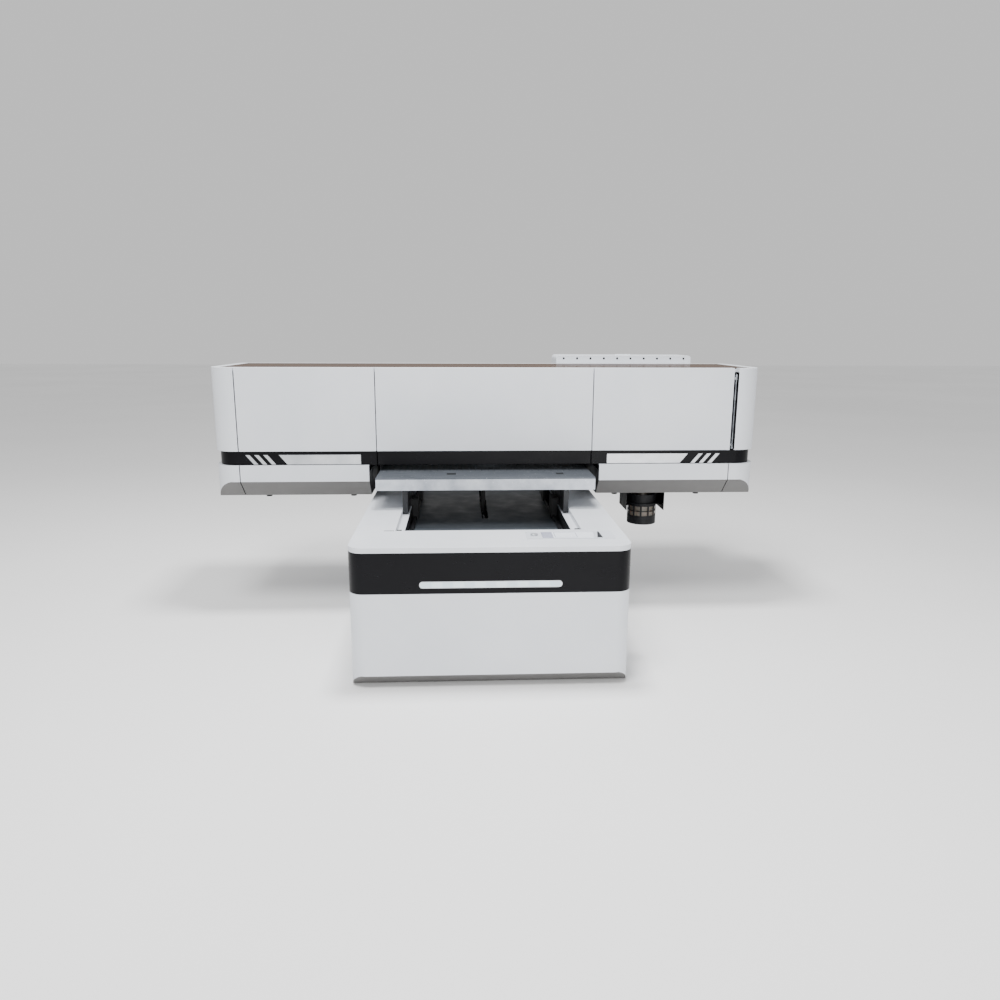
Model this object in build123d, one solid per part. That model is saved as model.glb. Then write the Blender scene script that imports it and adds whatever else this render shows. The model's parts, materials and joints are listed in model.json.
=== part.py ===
from build123d import *
import math
import os

# Flatbed UV printer: a floor-standing base, a table that slides front to back through a bridge,
# and a bridge whose carriage carries the print heads from side to side.
# Millimetres, +X to the right, front towards -Y, +Z up, origin on the floor under the base's centre.

# ---- table -------------------------------------------------------------------------------------
BED_LENGTH = 600.0          # printable length; the table travels this far
TABLE_WIDTH = 960.0
TABLE_MARGIN = 168.0        # plain strip in front of the perforated bed
TABLE_TAIL = 42.0           # strip behind it
TABLE_THICK = 55.0
TABLE_SKIN = 6.0            # perforated top sheet
TABLE_RIM = 40.0            # width of the profile round the vacuum chamber
RUNNER_INSET = 125.5        # table edge to the middle of the runner under it
RUNNER_WIDTH = 24.0
RUNNER_SETBACK = 16.0       # runner's end behind the table's front edge
RUNNER_END = 104.0          # runner's rear end in front of the table's rear edge
RUNNER_HEIGHT = 107.5
RUNNER_CLEARANCE = 3.0      # runner above the channel's ledge

# ---- base --------------------------------------------------------------------------------------
STROKE_ROOM = 440.0         # base length beyond twice the bed: runner ends, stops and covers
BASE_CORNER = 58.0
DECK_HEIGHT = 552.0
CAP_LIP = 21.0              # turned-down edge of the deck
BAND_DROP = 156.0           # black band under the lip
SKIRT_HEIGHT = 53.0
SKIRT_SLOPE = 58.0          # how far the skirt falls back towards the floor
SKIRT_LIFT = 2.0            # the feet carry the weight, not the covers
SHEET = 3.0                 # folded sheet thickness
SEAM = 4.0                  # visible gap between neighbouring covers
FRAME_TUBE = 50.0
FRAME_WALL = 3.0
FOOT_SIZE = 90.0
FOOT_THICK = 12.0
ANCHOR_HOLE = 12.5
CHANNEL_MARGIN = 12.5       # middle of the runner to the channel's edge
CHANNEL_FRONT = 245.5       # from the base's front to the channel
CHANNEL_END = 23.0          # from the channel to the base's rear
LEDGE_WIDTH = 30.0
LEDGE_DEPTH = 23.0
PIT_DEPTH = 86.0

# ---- bridge ------------------------------------------------------------------------------------
TABLE_SIDE_GAP = 49.0       # table edge to the wing beside it
LEFT_WING = 702.0
RIGHT_WING = 743.0
BRIDGE_FRONT = -37.0
BRIDGE_DEPTH = 565.0
BRIDGE_CORNER = 100.0
BRIDGE_REAR_CORNER = 20.0
WING_CLEARANCE = 18.0       # wing bottom above the deck
CHAMFER_HEIGHT = 76.0
CHAMFER_SLOPE = 75.0
LOWER_HEIGHT = 75.0
BAND_HEIGHT = 64.5
BAND_RECESS = 15.0
DOOR_HEIGHT = 374.5
DOOR_DEPTH = 22.0
COLUMN_LEFT = 120.0
COLUMN_RIGHT = 114.0
HINGE_GAP = 22.0            # open slot between the right door and its column
UPRIGHT_THICK = 33.0
UPRIGHT_DEPTH = 140.0
UPRIGHT_SETBACK = 134.5     # bridge middle line to the front of the uprights and the beam
BEAM_DEPTH = 90.0
BEAM_HEIGHT = 100.0
BEAM_RAISE = 65.0           # underside of the beam above the heads' underside
POST = 30.0
TOP_FRAME_HEIGHT = 20.0
LID_THICK = 6.0
LID_BORDER = 48.0
PLATE_MARGIN = 74.0         # middle line to wing edge seam, to the silver plate

# ---- print carriage ----------------------------------------------------------------------------
PARK_OFFSET = 321.0         # wing's inner wall to the carriage's rest place, over the cap station
CARRIAGE_WIDTH = 200.0
HEAD_RAISE = 46.5           # underside of the print heads at rest, above the table
HEAD_LENGTH = 140.0
HEAD_WIDTH = 50.0
HEAD_PITCH = 70.0
HEAD_COUNT = 3
LAMP_WIDTH = 50.0
RAIL_SIZE = 15.0
RUN_GAP = 0.5               # running clearance of guide blocks and slides
PULLEY_RADIUS = 12.0
BELT_WIDTH = 10.0
BELT_THICK = 2.0

# ---- ink and waste -----------------------------------------------------------------------------
INK_BOX_OVERLAP = 141.0     # how far the ink box reaches in over the table's opening
INK_BOX_WIDTH = 710.0
INK_BOX_DEPTH = 213.0
INK_BOX_HEIGHT = 250.0
INK_BOX_RISE = 41.0         # top of the ink box above the bridge
INK_BOX_ROUND = 18.0
INK_TANKS = 10
BOTTLE_OFFSET = 258.0       # wing's inner wall to the waste bottle's middle
BOTTLE_SETBACK = 218.0      # bridge front to the same
BOTTLE_DIAMETER = 140.0
BOTTLE_HEIGHT = 173.0
BOTTLE_DROP = 177.0         # wing bottom to bottle bottom
BRACKET_HEIGHT = 103.0
BRACKET_WIDTH = 186.0
BUMPER_DIAMETER = 27.0
BUMPER_HEIGHT = 8.0

# ---- worked out from the above -----------------------------------------------------------------
BASE_LENGTH = 2 * BED_LENGTH + STROKE_ROOM
TABLE_LENGTH = BED_LENGTH + TABLE_MARGIN + TABLE_TAIL
RUNNER_LENGTH = TABLE_LENGTH - RUNNER_SETBACK - RUNNER_END
RUNNER_X = TABLE_WIDTH / 2 - RUNNER_INSET
BASE_FRONT = -BASE_LENGTH / 2
BASE_REAR = BASE_LENGTH / 2
OPENING = TABLE_WIDTH / 2 + TABLE_SIDE_GAP
BASE_HALF = OPENING - SEAM
CENTRE_HALF = BASE_HALF - UPRIGHT_THICK
CAP_BOTTOM = DECK_HEIGHT - CAP_LIP
BAND_BOTTOM = CAP_BOTTOM - BAND_DROP
CHANNEL_HALF = RUNNER_X + CHANNEL_MARGIN
CHANNEL_Y0 = BASE_FRONT + CHANNEL_FRONT
CHANNEL_Y1 = BASE_REAR - CHANNEL_END
PIT_HALF = CHANNEL_HALF - LEDGE_WIDTH
LEDGE_TOP = DECK_HEIGHT - LEDGE_DEPTH
PIT_FLOOR = DECK_HEIGHT - PIT_DEPTH
FRAME_TOP = PIT_FLOOR - SHEET
BRIDGE_REAR = BRIDGE_FRONT + BRIDGE_DEPTH
BRIDGE_LEFT = -OPENING - LEFT_WING
BRIDGE_RIGHT = OPENING + RIGHT_WING
WING_BOTTOM = DECK_HEIGHT + WING_CLEARANCE
CHAMFER_TOP = WING_BOTTOM + CHAMFER_HEIGHT
LOWER_TOP = CHAMFER_TOP + LOWER_HEIGHT
DOOR_BOTTOM = LOWER_TOP + BAND_HEIGHT
BRIDGE_TOP = DOOR_BOTTOM + DOOR_HEIGHT
FRAME_UNDER = BRIDGE_TOP - TOP_FRAME_HEIGHT
REAR_SEAM = BRIDGE_REAR - 40.0
LEFT_SEAM = BRIDGE_LEFT + COLUMN_LEFT
RIGHT_SEAM = BRIDGE_RIGHT - COLUMN_RIGHT
HINGE_X = RIGHT_SEAM - HINGE_GAP / 2
HINGE_Y = BRIDGE_FRONT + 7.0
HEAD_LINE = (BRIDGE_FRONT + BRIDGE_REAR) / 2
TABLE_FRONT = HEAD_LINE - BED_LENGTH / 2 - TABLE_MARGIN
TABLE_REAR = TABLE_FRONT + TABLE_LENGTH
RUNNER_TOP = LEDGE_TOP + RUNNER_CLEARANCE + RUNNER_HEIGHT
TABLE_TOP = RUNNER_TOP + TABLE_THICK
HEAD_REST = TABLE_TOP + HEAD_RAISE
BEAM_BOTTOM = HEAD_REST + BEAM_RAISE
UPRIGHT_FRONT = HEAD_LINE + UPRIGHT_SETBACK
CARRIAGE_PARK = OPENING + PARK_OFFSET
BOTTLE_X = OPENING + BOTTLE_OFFSET
BOTTLE_Y = BRIDGE_FRONT + BOTTLE_SETBACK
INK_BOX_LEFT = OPENING - INK_BOX_OVERLAP
POST_FRONT = BRIDGE_FRONT + CHAMFER_SLOPE + 5.5
TABLE_MIDDLE = (TABLE_FRONT + TABLE_REAR) / 2
BEAM_TOP = BEAM_BOTTOM + BEAM_HEIGHT
BEAM_LEFT = LEFT_SEAM - 39.0
BEAM_RIGHT = RIGHT_SEAM + 32.0
RAIL_FRONT = UPRIGHT_FRONT - RAIL_SIZE
PLATE_BACK = RAIL_FRONT - 13.0
PLATE_FRONT = PLATE_BACK - 12.0
LIFT_BACK = PLATE_FRONT - RUN_GAP
LIFT_FRONT = LIFT_BACK - 12.0
BELT_AXIS_Z = BEAM_TOP + 25.0
BELT_Y = PLATE_BACK + 8.0
SCREW_Y = LIFT_FRONT - 15.0
BOTTLE_BOTTOM = WING_BOTTOM - BOTTLE_DROP
BRACKET_BOTTOM = WING_BOTTOM - BRACKET_HEIGHT
SCREW_Z = PIT_FLOOR - 50.0
FAR = 3000.0                # larger than the machine, for cutting forms


# ---- small forming tools -----------------------------------------------------------------------
def block(x0, x1, y0, y1, z0, z1):
    return Pos((x0 + x1) / 2, (y0 + y1) / 2, (z0 + z1) / 2) * Box(x1 - x0, y1 - y0, z1 - z0)


def upright_rod(x, y, z0, z1, radius):
    return Pos(x, y, (z0 + z1) / 2) * Cylinder(radius, z1 - z0)


def rod_along_y(x, z, y0, y1, radius):
    return Pos(x, (y0 + y1) / 2, z) * Rot(90, 0, 0) * Cylinder(radius, y1 - y0)


def rod_along_x(y, z, x0, x1, radius):
    return Pos((x0 + x1) / 2, y, z) * Rot(0, 90, 0) * Cylinder(radius, x1 - x0)


def both_sides(piece):
    return [piece, mirror(piece, about=Plane.YZ)]


def tube(x0, x1, y0, y1, z0, z1, along):
    """A square tube between the given planes, open at both ends."""
    wall = {"x": (0, FRAME_WALL, FRAME_WALL), "y": (FRAME_WALL, 0, FRAME_WALL),
            "z": (FRAME_WALL, FRAME_WALL, 0)}[along]
    hollow = block(x0 + wall[0], x1 - wall[0], y0 + wall[1], y1 - wall[1], z0 + wall[2], z1 - wall[2])
    return block(x0, x1, y0, y1, z0, z1) - hollow


def plan(x0, x1, y0, y1, front_radius, rear_radius, inset, z0, z1):
    """An upright form with rounded corners in plan, its outline moved in by the inset."""
    outline = Pos((x0 + x1) / 2, (y0 + y1) / 2) * Rectangle(x1 - x0 - 2 * inset, y1 - y0 - 2 * inset)
    outline = fillet(outline.vertices().sort_by(Axis.Y)[:2], front_radius - inset)
    outline = fillet(outline.vertices().sort_by(Axis.Y)[-2:], rear_radius - inset)
    return Pos(0, 0, z0) * extrude(outline, amount=z1 - z0)


def front_wedge(y_top, z_top, slope, height, shift):
    """What is cut away in front of a sloping face that leans back towards its bottom."""
    with BuildSketch(Plane.YZ) as section:
        with BuildLine():
            Polyline((y_top + shift, z_top), (y_top + slope + shift, z_top - height),
                     (y_top + slope + shift, z_top - height - 1), (y_top - slope, z_top - height - 1),
                     (y_top - slope, z_top), close=True)
        make_face()
    return extrude(section.sketch, amount=FAR, both=True)


def save(name, *pieces):
    """Writes one node: a group of closed solids."""
    solids = [solid for piece in pieces for solid in piece.solids()]
    export_step(Compound(label=name, children=solids), os.path.join("parts", name + ".step"))


# ---- base --------------------------------------------------------------------------------------
def base_form(inset, z0, z1):
    return plan(-BASE_HALF, BASE_HALF, BASE_FRONT, BASE_REAR, BASE_CORNER, BRIDGE_REAR_CORNER,
                inset, z0, z1)


def base_ring(z0, z1):
    return base_form(0, z0, z1) - base_form(SHEET, z0, z1)


FRONT_SPLIT = BASE_FRONT + BASE_CORNER + 6.0
REAR_SPLIT = BASE_REAR - 30.0
FRAME_X = BASE_HALF - SHEET
FRAME_Y0 = FRONT_SPLIT
FRAME_Y1 = -FRAME_Y0
MIDDLE_LEG = 0.0
LOW_RAIL_Z = 72.0
STUB_X = (BASE_HALF - FRAME_TUBE / 2) / 2   # short tubes from the frame to the front and rear panels
NUT_RADIUS = 22.0
SCREW_RAIL_Z = SCREW_Z - NUT_RADIUS - 8.0 - FRAME_TUBE    # the middle cross rail passes under the nut


def leg_places():
    """Middles of the six legs."""
    x = FRAME_X - FRAME_TUBE / 2
    ends = (FRAME_Y0 + FRAME_TUBE / 2, MIDDLE_LEG, FRAME_Y1 - FRAME_TUBE / 2)
    return [(side * x, y) for side in (-1, 1) for y in ends]


def anchor_feet():
    feet = []
    for x, y in leg_places():
        inward = -math.copysign((FOOT_SIZE - FRAME_TUBE) / 2, x)
        foot = Pos(x + inward, y, FOOT_THICK / 2) * Box(FOOT_SIZE, FOOT_SIZE * 0.6, FOOT_THICK)
        if y != MIDDLE_LEG:
            foot -= upright_rod(x + 2 * inward, y, 0, FOOT_THICK, ANCHOR_HOLE / 2)
        feet.append(foot)
    return feet


def base_frame():
    half = FRAME_TUBE / 2
    top_rail = DECK_HEIGHT - SHEET
    tubes = []
    for x, y in leg_places():
        tubes.append(tube(x - half, x + half, y - half, y + half, FOOT_THICK, top_rail - FRAME_TUBE, "z"))
    for side in (-1, 1):
        x0, x1 = sorted((side * FRAME_X, side * (FRAME_X - FRAME_TUBE)))
        tubes.append(tube(x0, x1, FRAME_Y0, FRAME_Y1, top_rail - FRAME_TUBE, top_rail, "y"))
    inner = FRAME_X - FRAME_TUBE
    high = FRAME_TOP - FRAME_TUBE
    for y, top in ((FRAME_Y0, high), (MIDDLE_LEG - half, SCREW_RAIL_Z), (FRAME_Y1 - FRAME_TUBE, high)):
        for z in (LOW_RAIL_Z, top):
            tubes.append(tube(-inner, inner, y, y + FRAME_TUBE, z, z + FRAME_TUBE, "x"))
    stub = tube(STUB_X, STUB_X + FRAME_TUBE, BASE_FRONT + SHEET, FRAME_Y0, LOW_RAIL_Z,
                LOW_RAIL_Z + FRAME_TUBE, "y")
    for piece in both_sides(stub):
        tubes += [piece, mirror(piece, about=Plane.XZ)]
    return tubes


def skirt_wedge(shift):
    return front_wedge(BASE_FRONT, SKIRT_HEIGHT, SKIRT_SLOPE, SKIRT_HEIGHT, shift)


def base_skirt():
    """Sloping plate under the front panel, trimmed to the base's rounded corners."""
    form = base_form(0, SKIRT_LIFT, SKIRT_HEIGHT)
    return (form - skirt_wedge(0)) & skirt_wedge(SHEET)


def front_panel():
    """White front whose rounded corners run down beside the sloping skirt."""
    ring = base_ring(SKIRT_LIFT, BAND_BOTTOM) - skirt_wedge(SHEET)
    return ring & block(-FAR, FAR, -FAR, FRONT_SPLIT - SEAM / 2, 0, FAR)


def side_panels():
    ring = base_ring(SKIRT_LIFT, BAND_BOTTOM)
    panel = ring & block(0, FAR, FRONT_SPLIT + SEAM / 2, REAR_SPLIT - SEAM / 2, 0, FAR)
    for row in range(6):
        z = SKIRT_HEIGHT + 60.0 + row * 14.0
        panel -= block(0, FAR, BASE_REAR - 390.0, BASE_REAR - 210.0, z, z + 5.0)
    return both_sides(panel)


FAN_X = 225.0 - BASE_HALF
FAN_Z = 250.0
FAN_RADIUS = 55.0
INLET_X = BASE_HALF - 195.0
INLET_Z = 180.0
INLET_WIDTH = 48.0
INLET_HEIGHT = 28.0


def rear_panel():
    ring = base_ring(SKIRT_LIFT, CAP_BOTTOM)
    panel = ring & block(-FAR, FAR, REAR_SPLIT + SEAM / 2, FAR, 0, FAR)
    for row in range(7):
        z = FAN_Z - 48.0 + row * 15.0
        reach = math.sqrt(FAN_RADIUS ** 2 - (z + 3.0 - FAN_Z) ** 2)
        panel -= block(FAN_X - reach, FAN_X + reach, BASE_REAR - 10, BASE_REAR + 10, z, z + 6.0)
    panel -= block(INLET_X - INLET_WIDTH / 2, INLET_X + INLET_WIDTH / 2, BASE_REAR - 10, BASE_REAR + 10,
                   INLET_Z - INLET_HEIGHT / 2, INLET_Z + INLET_HEIGHT / 2)
    return panel


LIGHT_HALF = BASE_HALF - 263.0
LIGHT_Z = BAND_BOTTOM + 35.0
LIGHT_HEIGHT = 23.0
LIGHT_PROUD = 2.0
ESTOP_Y = BASE_FRONT + 274.0
ESTOP_Z = BAND_BOTTOM + 47.0
SWITCH_Z = BAND_BOTTOM - 6.0


def light_outline(clearance, y0, y1):
    bar = Pos(0, (y0 + y1) / 2, LIGHT_Z) * Rot(90, 0, 0)
    pill = SlotOverall(2 * (LIGHT_HALF + clearance), LIGHT_HEIGHT + 2 * clearance)
    return bar * extrude(pill, amount=(y1 - y0) / 2, both=True)


def front_band():
    ring = base_ring(BAND_BOTTOM, CAP_BOTTOM) & block(-FAR, FAR, -FAR, REAR_SPLIT - SEAM / 2, 0, FAR)
    return ring - light_outline(0, BASE_FRONT - 5, BASE_FRONT + 5)


def light_bar():
    return light_outline(0, BASE_FRONT - LIGHT_PROUD, BASE_FRONT + SHEET)


def deck_cap():
    cap = base_form(0, CAP_BOTTOM, DECK_HEIGHT) - base_form(SHEET, CAP_BOTTOM, DECK_HEIGHT - SHEET)
    return cap - block(-CHANNEL_HALF, CHANNEL_HALF, CHANNEL_Y0, CHANNEL_Y1, 0, FAR)


def deck_panels():
    cap = deck_cap()
    half_seam = SEAM / 4
    front = cap & block(-FAR, FAR, -FAR, CHANNEL_Y0 - half_seam, 0, FAR)
    rest = cap & block(-FAR, FAR, CHANNEL_Y0 + half_seam, FAR, 0, FAR)
    left = rest & block(-FAR, 0, -FAR, FAR, 0, FAR)
    right = rest & block(0, FAR, -FAR, FAR, 0, FAR)
    return [front, left, right]


NUT_LENGTH = 80.0
NUT_WEB = 20.0
TRAVEL_FORWARD = BED_LENGTH / 2 + 3.0
TRAVEL_BACK = BED_LENGTH / 2 - 3.0
NUT_ROOM = 10.0             # from the nut to the pillow block at each end of its travel
PILLOW = 30.0
NUT_FRONT = FRAME_Y1 - FRAME_TUBE - 4.0 - PILLOW - NUT_ROOM - TRAVEL_BACK - NUT_LENGTH


def channel_tray():
    """Stepped sides of the channel and the floor of the pit, with a slot for the drive bracket."""
    y0 = CHANNEL_Y0
    y1 = CHANNEL_Y1
    wall = block(CHANNEL_HALF, CHANNEL_HALF + SHEET, y0, y1, LEDGE_TOP - SHEET, DECK_HEIGHT - SHEET)
    wall += block(PIT_HALF, CHANNEL_HALF + SHEET, y0, y1, LEDGE_TOP - SHEET, LEDGE_TOP)
    wall += block(PIT_HALF, PIT_HALF + SHEET, y0, y1, PIT_FLOOR, LEDGE_TOP)
    sides = both_sides(wall)
    floor = block(-PIT_HALF - SHEET, PIT_HALF + SHEET, y0, y1, PIT_FLOOR - SHEET, PIT_FLOOR)
    slot = block(-NUT_WEB / 2 - 5, NUT_WEB / 2 + 5, NUT_FRONT - TRAVEL_FORWARD - NUT_ROOM,
                 NUT_FRONT + NUT_LENGTH + TRAVEL_BACK + NUT_ROOM, 0, FAR)
    ends = [block(-PIT_HALF, PIT_HALF, y, y + SHEET, PIT_FLOOR, DECK_HEIGHT - SHEET)
            for y in (y0 + 1, y1 - SHEET - 1)]
    return [floor - slot] + sides + ends


TABLE_RAIL_X = PIT_HALF - 13.0


def table_rail():
    return block(TABLE_RAIL_X - RAIL_SIZE / 2, TABLE_RAIL_X + RAIL_SIZE / 2, CHANNEL_Y0 + 20.0,
                 CHANNEL_Y1 - 10.0, PIT_FLOOR, PIT_FLOOR + RAIL_SIZE)


def beam_rail_heights():
    return (BEAM_BOTTOM + 22.5, BEAM_TOP - 22.5)


def guide_rails():
    rails = both_sides(table_rail())
    for z in beam_rail_heights():
        rails.append(block(BEAM_LEFT + 5, BEAM_RIGHT - 5, RAIL_FRONT, UPRIGHT_FRONT,
                           z - RAIL_SIZE / 2, z + RAIL_SIZE / 2))
    return rails


BEARING_SIZE = 50.0
SCREW_RADIUS = 10.0
SCREW_Y0 = NUT_FRONT - TRAVEL_FORWARD - NUT_ROOM - PILLOW
SCREW_Y1 = NUT_FRONT + NUT_LENGTH + TRAVEL_BACK + NUT_ROOM + PILLOW
MOTOR_SIZE = 80.0
MOTOR_LENGTH = 108.0
FIT = 0.05                  # radial clearance of a shaft in its bearing


def table_screw():
    return rod_along_y(0, SCREW_Z, SCREW_Y0, SCREW_Y1, SCREW_RADIUS)


def drive_motors():
    """Both fixed motors and the two pillow blocks of the table screw, hung under the pit floor."""
    pieces = []
    for y in (SCREW_Y0, SCREW_Y1 - PILLOW):
        pillow = block(-BEARING_SIZE / 2, BEARING_SIZE / 2, y, y + PILLOW, SCREW_Z - 25.0, PIT_FLOOR - SHEET)
        pieces.append(pillow - rod_along_y(0, SCREW_Z, y, y + PILLOW, SCREW_RADIUS + FIT))
    motor = block(-MOTOR_SIZE / 2, MOTOR_SIZE / 2, SCREW_Y0 - MOTOR_LENGTH, SCREW_Y0,
                  SCREW_Z - 33.0, PIT_FLOOR - SHEET)
    pieces.append(motor)
    x = BEAM_RIGHT - 40.0
    drive = block(x - 28.0, x + 28.0, BELT_Y + 40.0, UPRIGHT_FRONT + BEAM_DEPTH, BEAM_TOP, BELT_AXIS_Z + 28.0)
    drive += rod_along_y(x, BELT_AXIS_Z, BELT_Y + 24.0, BELT_Y + 40.0, 11.0)
    pieces.append(drive)
    return pieces


def display_place():
    """Left, right, front and rear edge of the control panel on the front deck."""
    return BASE_HALF - 385.0, BASE_HALF - 48.0, BASE_FRONT + 102.0, BASE_FRONT + 206.0


SCREEN_LEFT = BASE_HALF - 325.0
SCREEN_RIGHT = BASE_HALF - 121.0
BUTTON_X = BASE_HALF - 354.0
BUTTON_Y = BASE_FRONT + 155.0
BUTTON_RADIUS = 14.0
PANEL_THICK = 2.0


def display_bezel():
    x0, x1, y0, y1 = display_place()
    plate = block(x0, x1, y0, y1, DECK_HEIGHT, DECK_HEIGHT + PANEL_THICK)
    plate -= block(SCREEN_LEFT - 0.5, SCREEN_RIGHT + 0.5, y0 + 7.5, y1 - 7.5, 0, FAR)
    return plate - upright_rod(BUTTON_X, BUTTON_Y, DECK_HEIGHT, FAR, BUTTON_RADIUS + 0.5)


def display_screen():
    x0, x1, y0, y1 = display_place()
    return block(SCREEN_LEFT, SCREEN_RIGHT, y0 + 8, y1 - 8, DECK_HEIGHT, DECK_HEIGHT + PANEL_THICK)


BUTTON_TRAVEL = 3.0


def power_button():
    return upright_rod(BUTTON_X, BUTTON_Y, DECK_HEIGHT + BUTTON_TRAVEL, DECK_HEIGHT + 7.0, BUTTON_RADIUS)


ESTOP_RADIUS = 21.0
ESTOP_BASE = 24.0
ESTOP_TRAVEL = 6.0


def estop_base():
    x = BASE_HALF
    box = fillet((Pos(x + ESTOP_BASE / 2, ESTOP_Y, ESTOP_Z) * Box(ESTOP_BASE, 56.0, 56.0)).edges()
                 .filter_by(Axis.X), 10.0)
    return box - rod_along_x(ESTOP_Y, ESTOP_Z, x + 8.0, x + ESTOP_BASE, 10.0 + FIT)


def estop_button():
    x = BASE_HALF + ESTOP_BASE
    head = rod_along_x(ESTOP_Y, ESTOP_Z, x + ESTOP_TRAVEL + 1.0, x + 21.0, ESTOP_RADIUS)
    head = fillet(head.edges().sort_by(Axis.X)[-1], 6.0)
    return head + rod_along_x(ESTOP_Y, ESTOP_Z, x - 8.0, x + ESTOP_TRAVEL + 1.0, 10.0)


def main_switch():
    x = BASE_HALF
    dial = rod_along_x(ESTOP_Y, SWITCH_Z, x + 0.5, x + 6.0, 19.0)
    grip = block(x + 6.0, x + 24.0, ESTOP_Y - 5.0, ESTOP_Y + 5.0, SWITCH_Z - 17.0, SWITCH_Z + 17.0)
    return dial + grip


def power_inlet():
    y = BASE_REAR
    x0 = INLET_X - INLET_WIDTH / 2
    x1 = INLET_X + INLET_WIDTH / 2
    body = block(x0, x1, y - 25.0, y, INLET_Z - INLET_HEIGHT / 2, INLET_Z + INLET_HEIGHT / 2)
    body += block(x0 - 5, x1 + 5, y, y + 2.0, INLET_Z - 19.0, INLET_Z + 19.0)
    well = block(x0 + 8, x1 - 8, y - 18.0, y + 5.0, INLET_Z - 9.0, INLET_Z + 9.0)
    pins = [block(INLET_X + dx - 1, INLET_X + dx + 1, y - 18.0, y - 4.0, INLET_Z - 3, INLET_Z + 3)
            for dx in (-9.0, 0.0, 9.0)]
    return (body - well) + pins


def rear_fan():
    y0 = BASE_REAR - SHEET - 28.0
    hub = rod_along_y(FAN_X, FAN_Z, y0, y0 + 22.0, 18.0)
    for turn in range(7):
        blade = Pos(FAN_X, y0 + 11.0, FAN_Z) * Rot(0, turn * 360.0 / 7, 0) * Pos(0, 0, 33.0) \
            * Rot(0, 0, 35) * Box(18.0, 3.0, 34.0)
        hub += blade
    return hub


# ---- bridge structure --------------------------------------------------------------------------
def post_places():
    """Left edges of the posts: one at each wing's inner wall, one at each outer column."""
    return (LEFT_SEAM, -OPENING - 11.0 - POST, OPENING + 11.0, HINGE_X - POST + 3.0)


POST_CAP = 4.0              # plate on each front post that reaches forward under the top frame


def bridge_frame():
    """Two uprights on the base, the posts that carry the covers, and the arms back to the beam."""
    pieces = both_sides(block(CENTRE_HALF, BASE_HALF, UPRIGHT_FRONT, UPRIGHT_FRONT + UPRIGHT_DEPTH,
                              DECK_HEIGHT, BEAM_BOTTOM))
    front = POST_FRONT
    rear = BRIDGE_REAR - SHEET - POST
    band = BRIDGE_FRONT + BAND_RECESS + SHEET
    for x in post_places():
        post = tube(x, x + POST, front, front + POST, WING_BOTTOM + SHEET, FRAME_UNDER - POST_CAP, "z")
        post += block(x, x + POST, BRIDGE_FRONT + DOOR_DEPTH + 2, front + POST, FRAME_UNDER - POST_CAP,
                      FRAME_UNDER)
        clip = block(x + 5, x + POST - 5, band, front, LOWER_TOP + 10, DOOR_BOTTOM - 10)
        rear_post = tube(x, x + POST, rear, rear + POST, WING_BOTTOM + SHEET, FRAME_UNDER, "z")
        arm = block(x, x + POST, UPRIGHT_FRONT + BEAM_DEPTH, rear, BEAM_BOTTOM + 10, BEAM_TOP - 10)
        pieces += [post, clip, rear_post, arm]
    return pieces


def bridge_beam():
    """The box beam, and the bracket at its left end that holds the idler pulley."""
    outer = block(BEAM_LEFT, BEAM_RIGHT, UPRIGHT_FRONT, UPRIGHT_FRONT + BEAM_DEPTH, BEAM_BOTTOM, BEAM_TOP)
    hollow = block(BEAM_LEFT, BEAM_RIGHT, UPRIGHT_FRONT + 6, UPRIGHT_FRONT + BEAM_DEPTH - 6,
                   BEAM_BOTTOM + 6, BEAM_TOP - 6)
    x = pulley_places()[0]
    bracket = block(x - 20, x + 20, BELT_Y + 12.0, BELT_Y + 60.0, BEAM_TOP, BELT_AXIS_Z + 18.0)
    return [outer - hollow, bracket - rod_along_y(x, BELT_AXIS_Z, 0, FAR, 4.0 + FIT)]


def bridge_form(inset, z0, z1):
    return plan(BRIDGE_LEFT, BRIDGE_RIGHT, BRIDGE_FRONT, BRIDGE_REAR, BRIDGE_CORNER,
                BRIDGE_REAR_CORNER, inset, z0, z1)


def bridge_ring(inset, width, z0, z1):
    return bridge_form(inset, z0, z1) - bridge_form(inset + width, z0, z1)


def wings_only(form, half, y_limit):
    """The parts of a form outside the middle, in front of the rear cover's seam."""
    left = form & block(-FAR, -half, -FAR, y_limit, 0, FAR)
    right = form & block(half, FAR, -FAR, y_limit, 0, FAR)
    return [left, right]


def chamfer_wedge(shift):
    return front_wedge(BRIDGE_FRONT, CHAMFER_TOP, CHAMFER_SLOPE, CHAMFER_HEIGHT, shift)


def without_corner_seams(form):
    """The form less a narrow gap below each column seam, where the corner pieces begin."""
    for x in (LEFT_SEAM, RIGHT_SEAM - HINGE_GAP):
        form -= block(x - SEAM / 2, x + SEAM / 2, -FAR, BRIDGE_FRONT + CHAMFER_SLOPE + SHEET, 0, FAR)
    return form


def chamfer_panels():
    """Grey strips that slope back under the wings, trimmed to their rounded corners."""
    form = bridge_form(0, WING_BOTTOM, CHAMFER_TOP) - chamfer_wedge(0)
    return wings_only(without_corner_seams(form & chamfer_wedge(SHEET)), OPENING, REAR_SEAM)


INNER_WALL_TOP = HEAD_REST - 49.0


def wing_trays():
    """Floor of each wing with its inner side turned up beside the table."""
    floor = bridge_form(SHEET, WING_BOTTOM, WING_BOTTOM + SHEET) - chamfer_wedge(SHEET)
    trays = []
    for side, tray in zip((-1, 1), wings_only(floor, OPENING, BRIDGE_REAR)):
        x0, x1 = sorted((side * OPENING, side * (OPENING + SHEET)))
        wall = block(x0, x1, BRIDGE_FRONT + SHEET, BRIDGE_REAR - SHEET, WING_BOTTOM, INNER_WALL_TOP)
        wall -= chamfer_wedge(SHEET)
        trays.append(tray + wall)
    return trays


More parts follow.
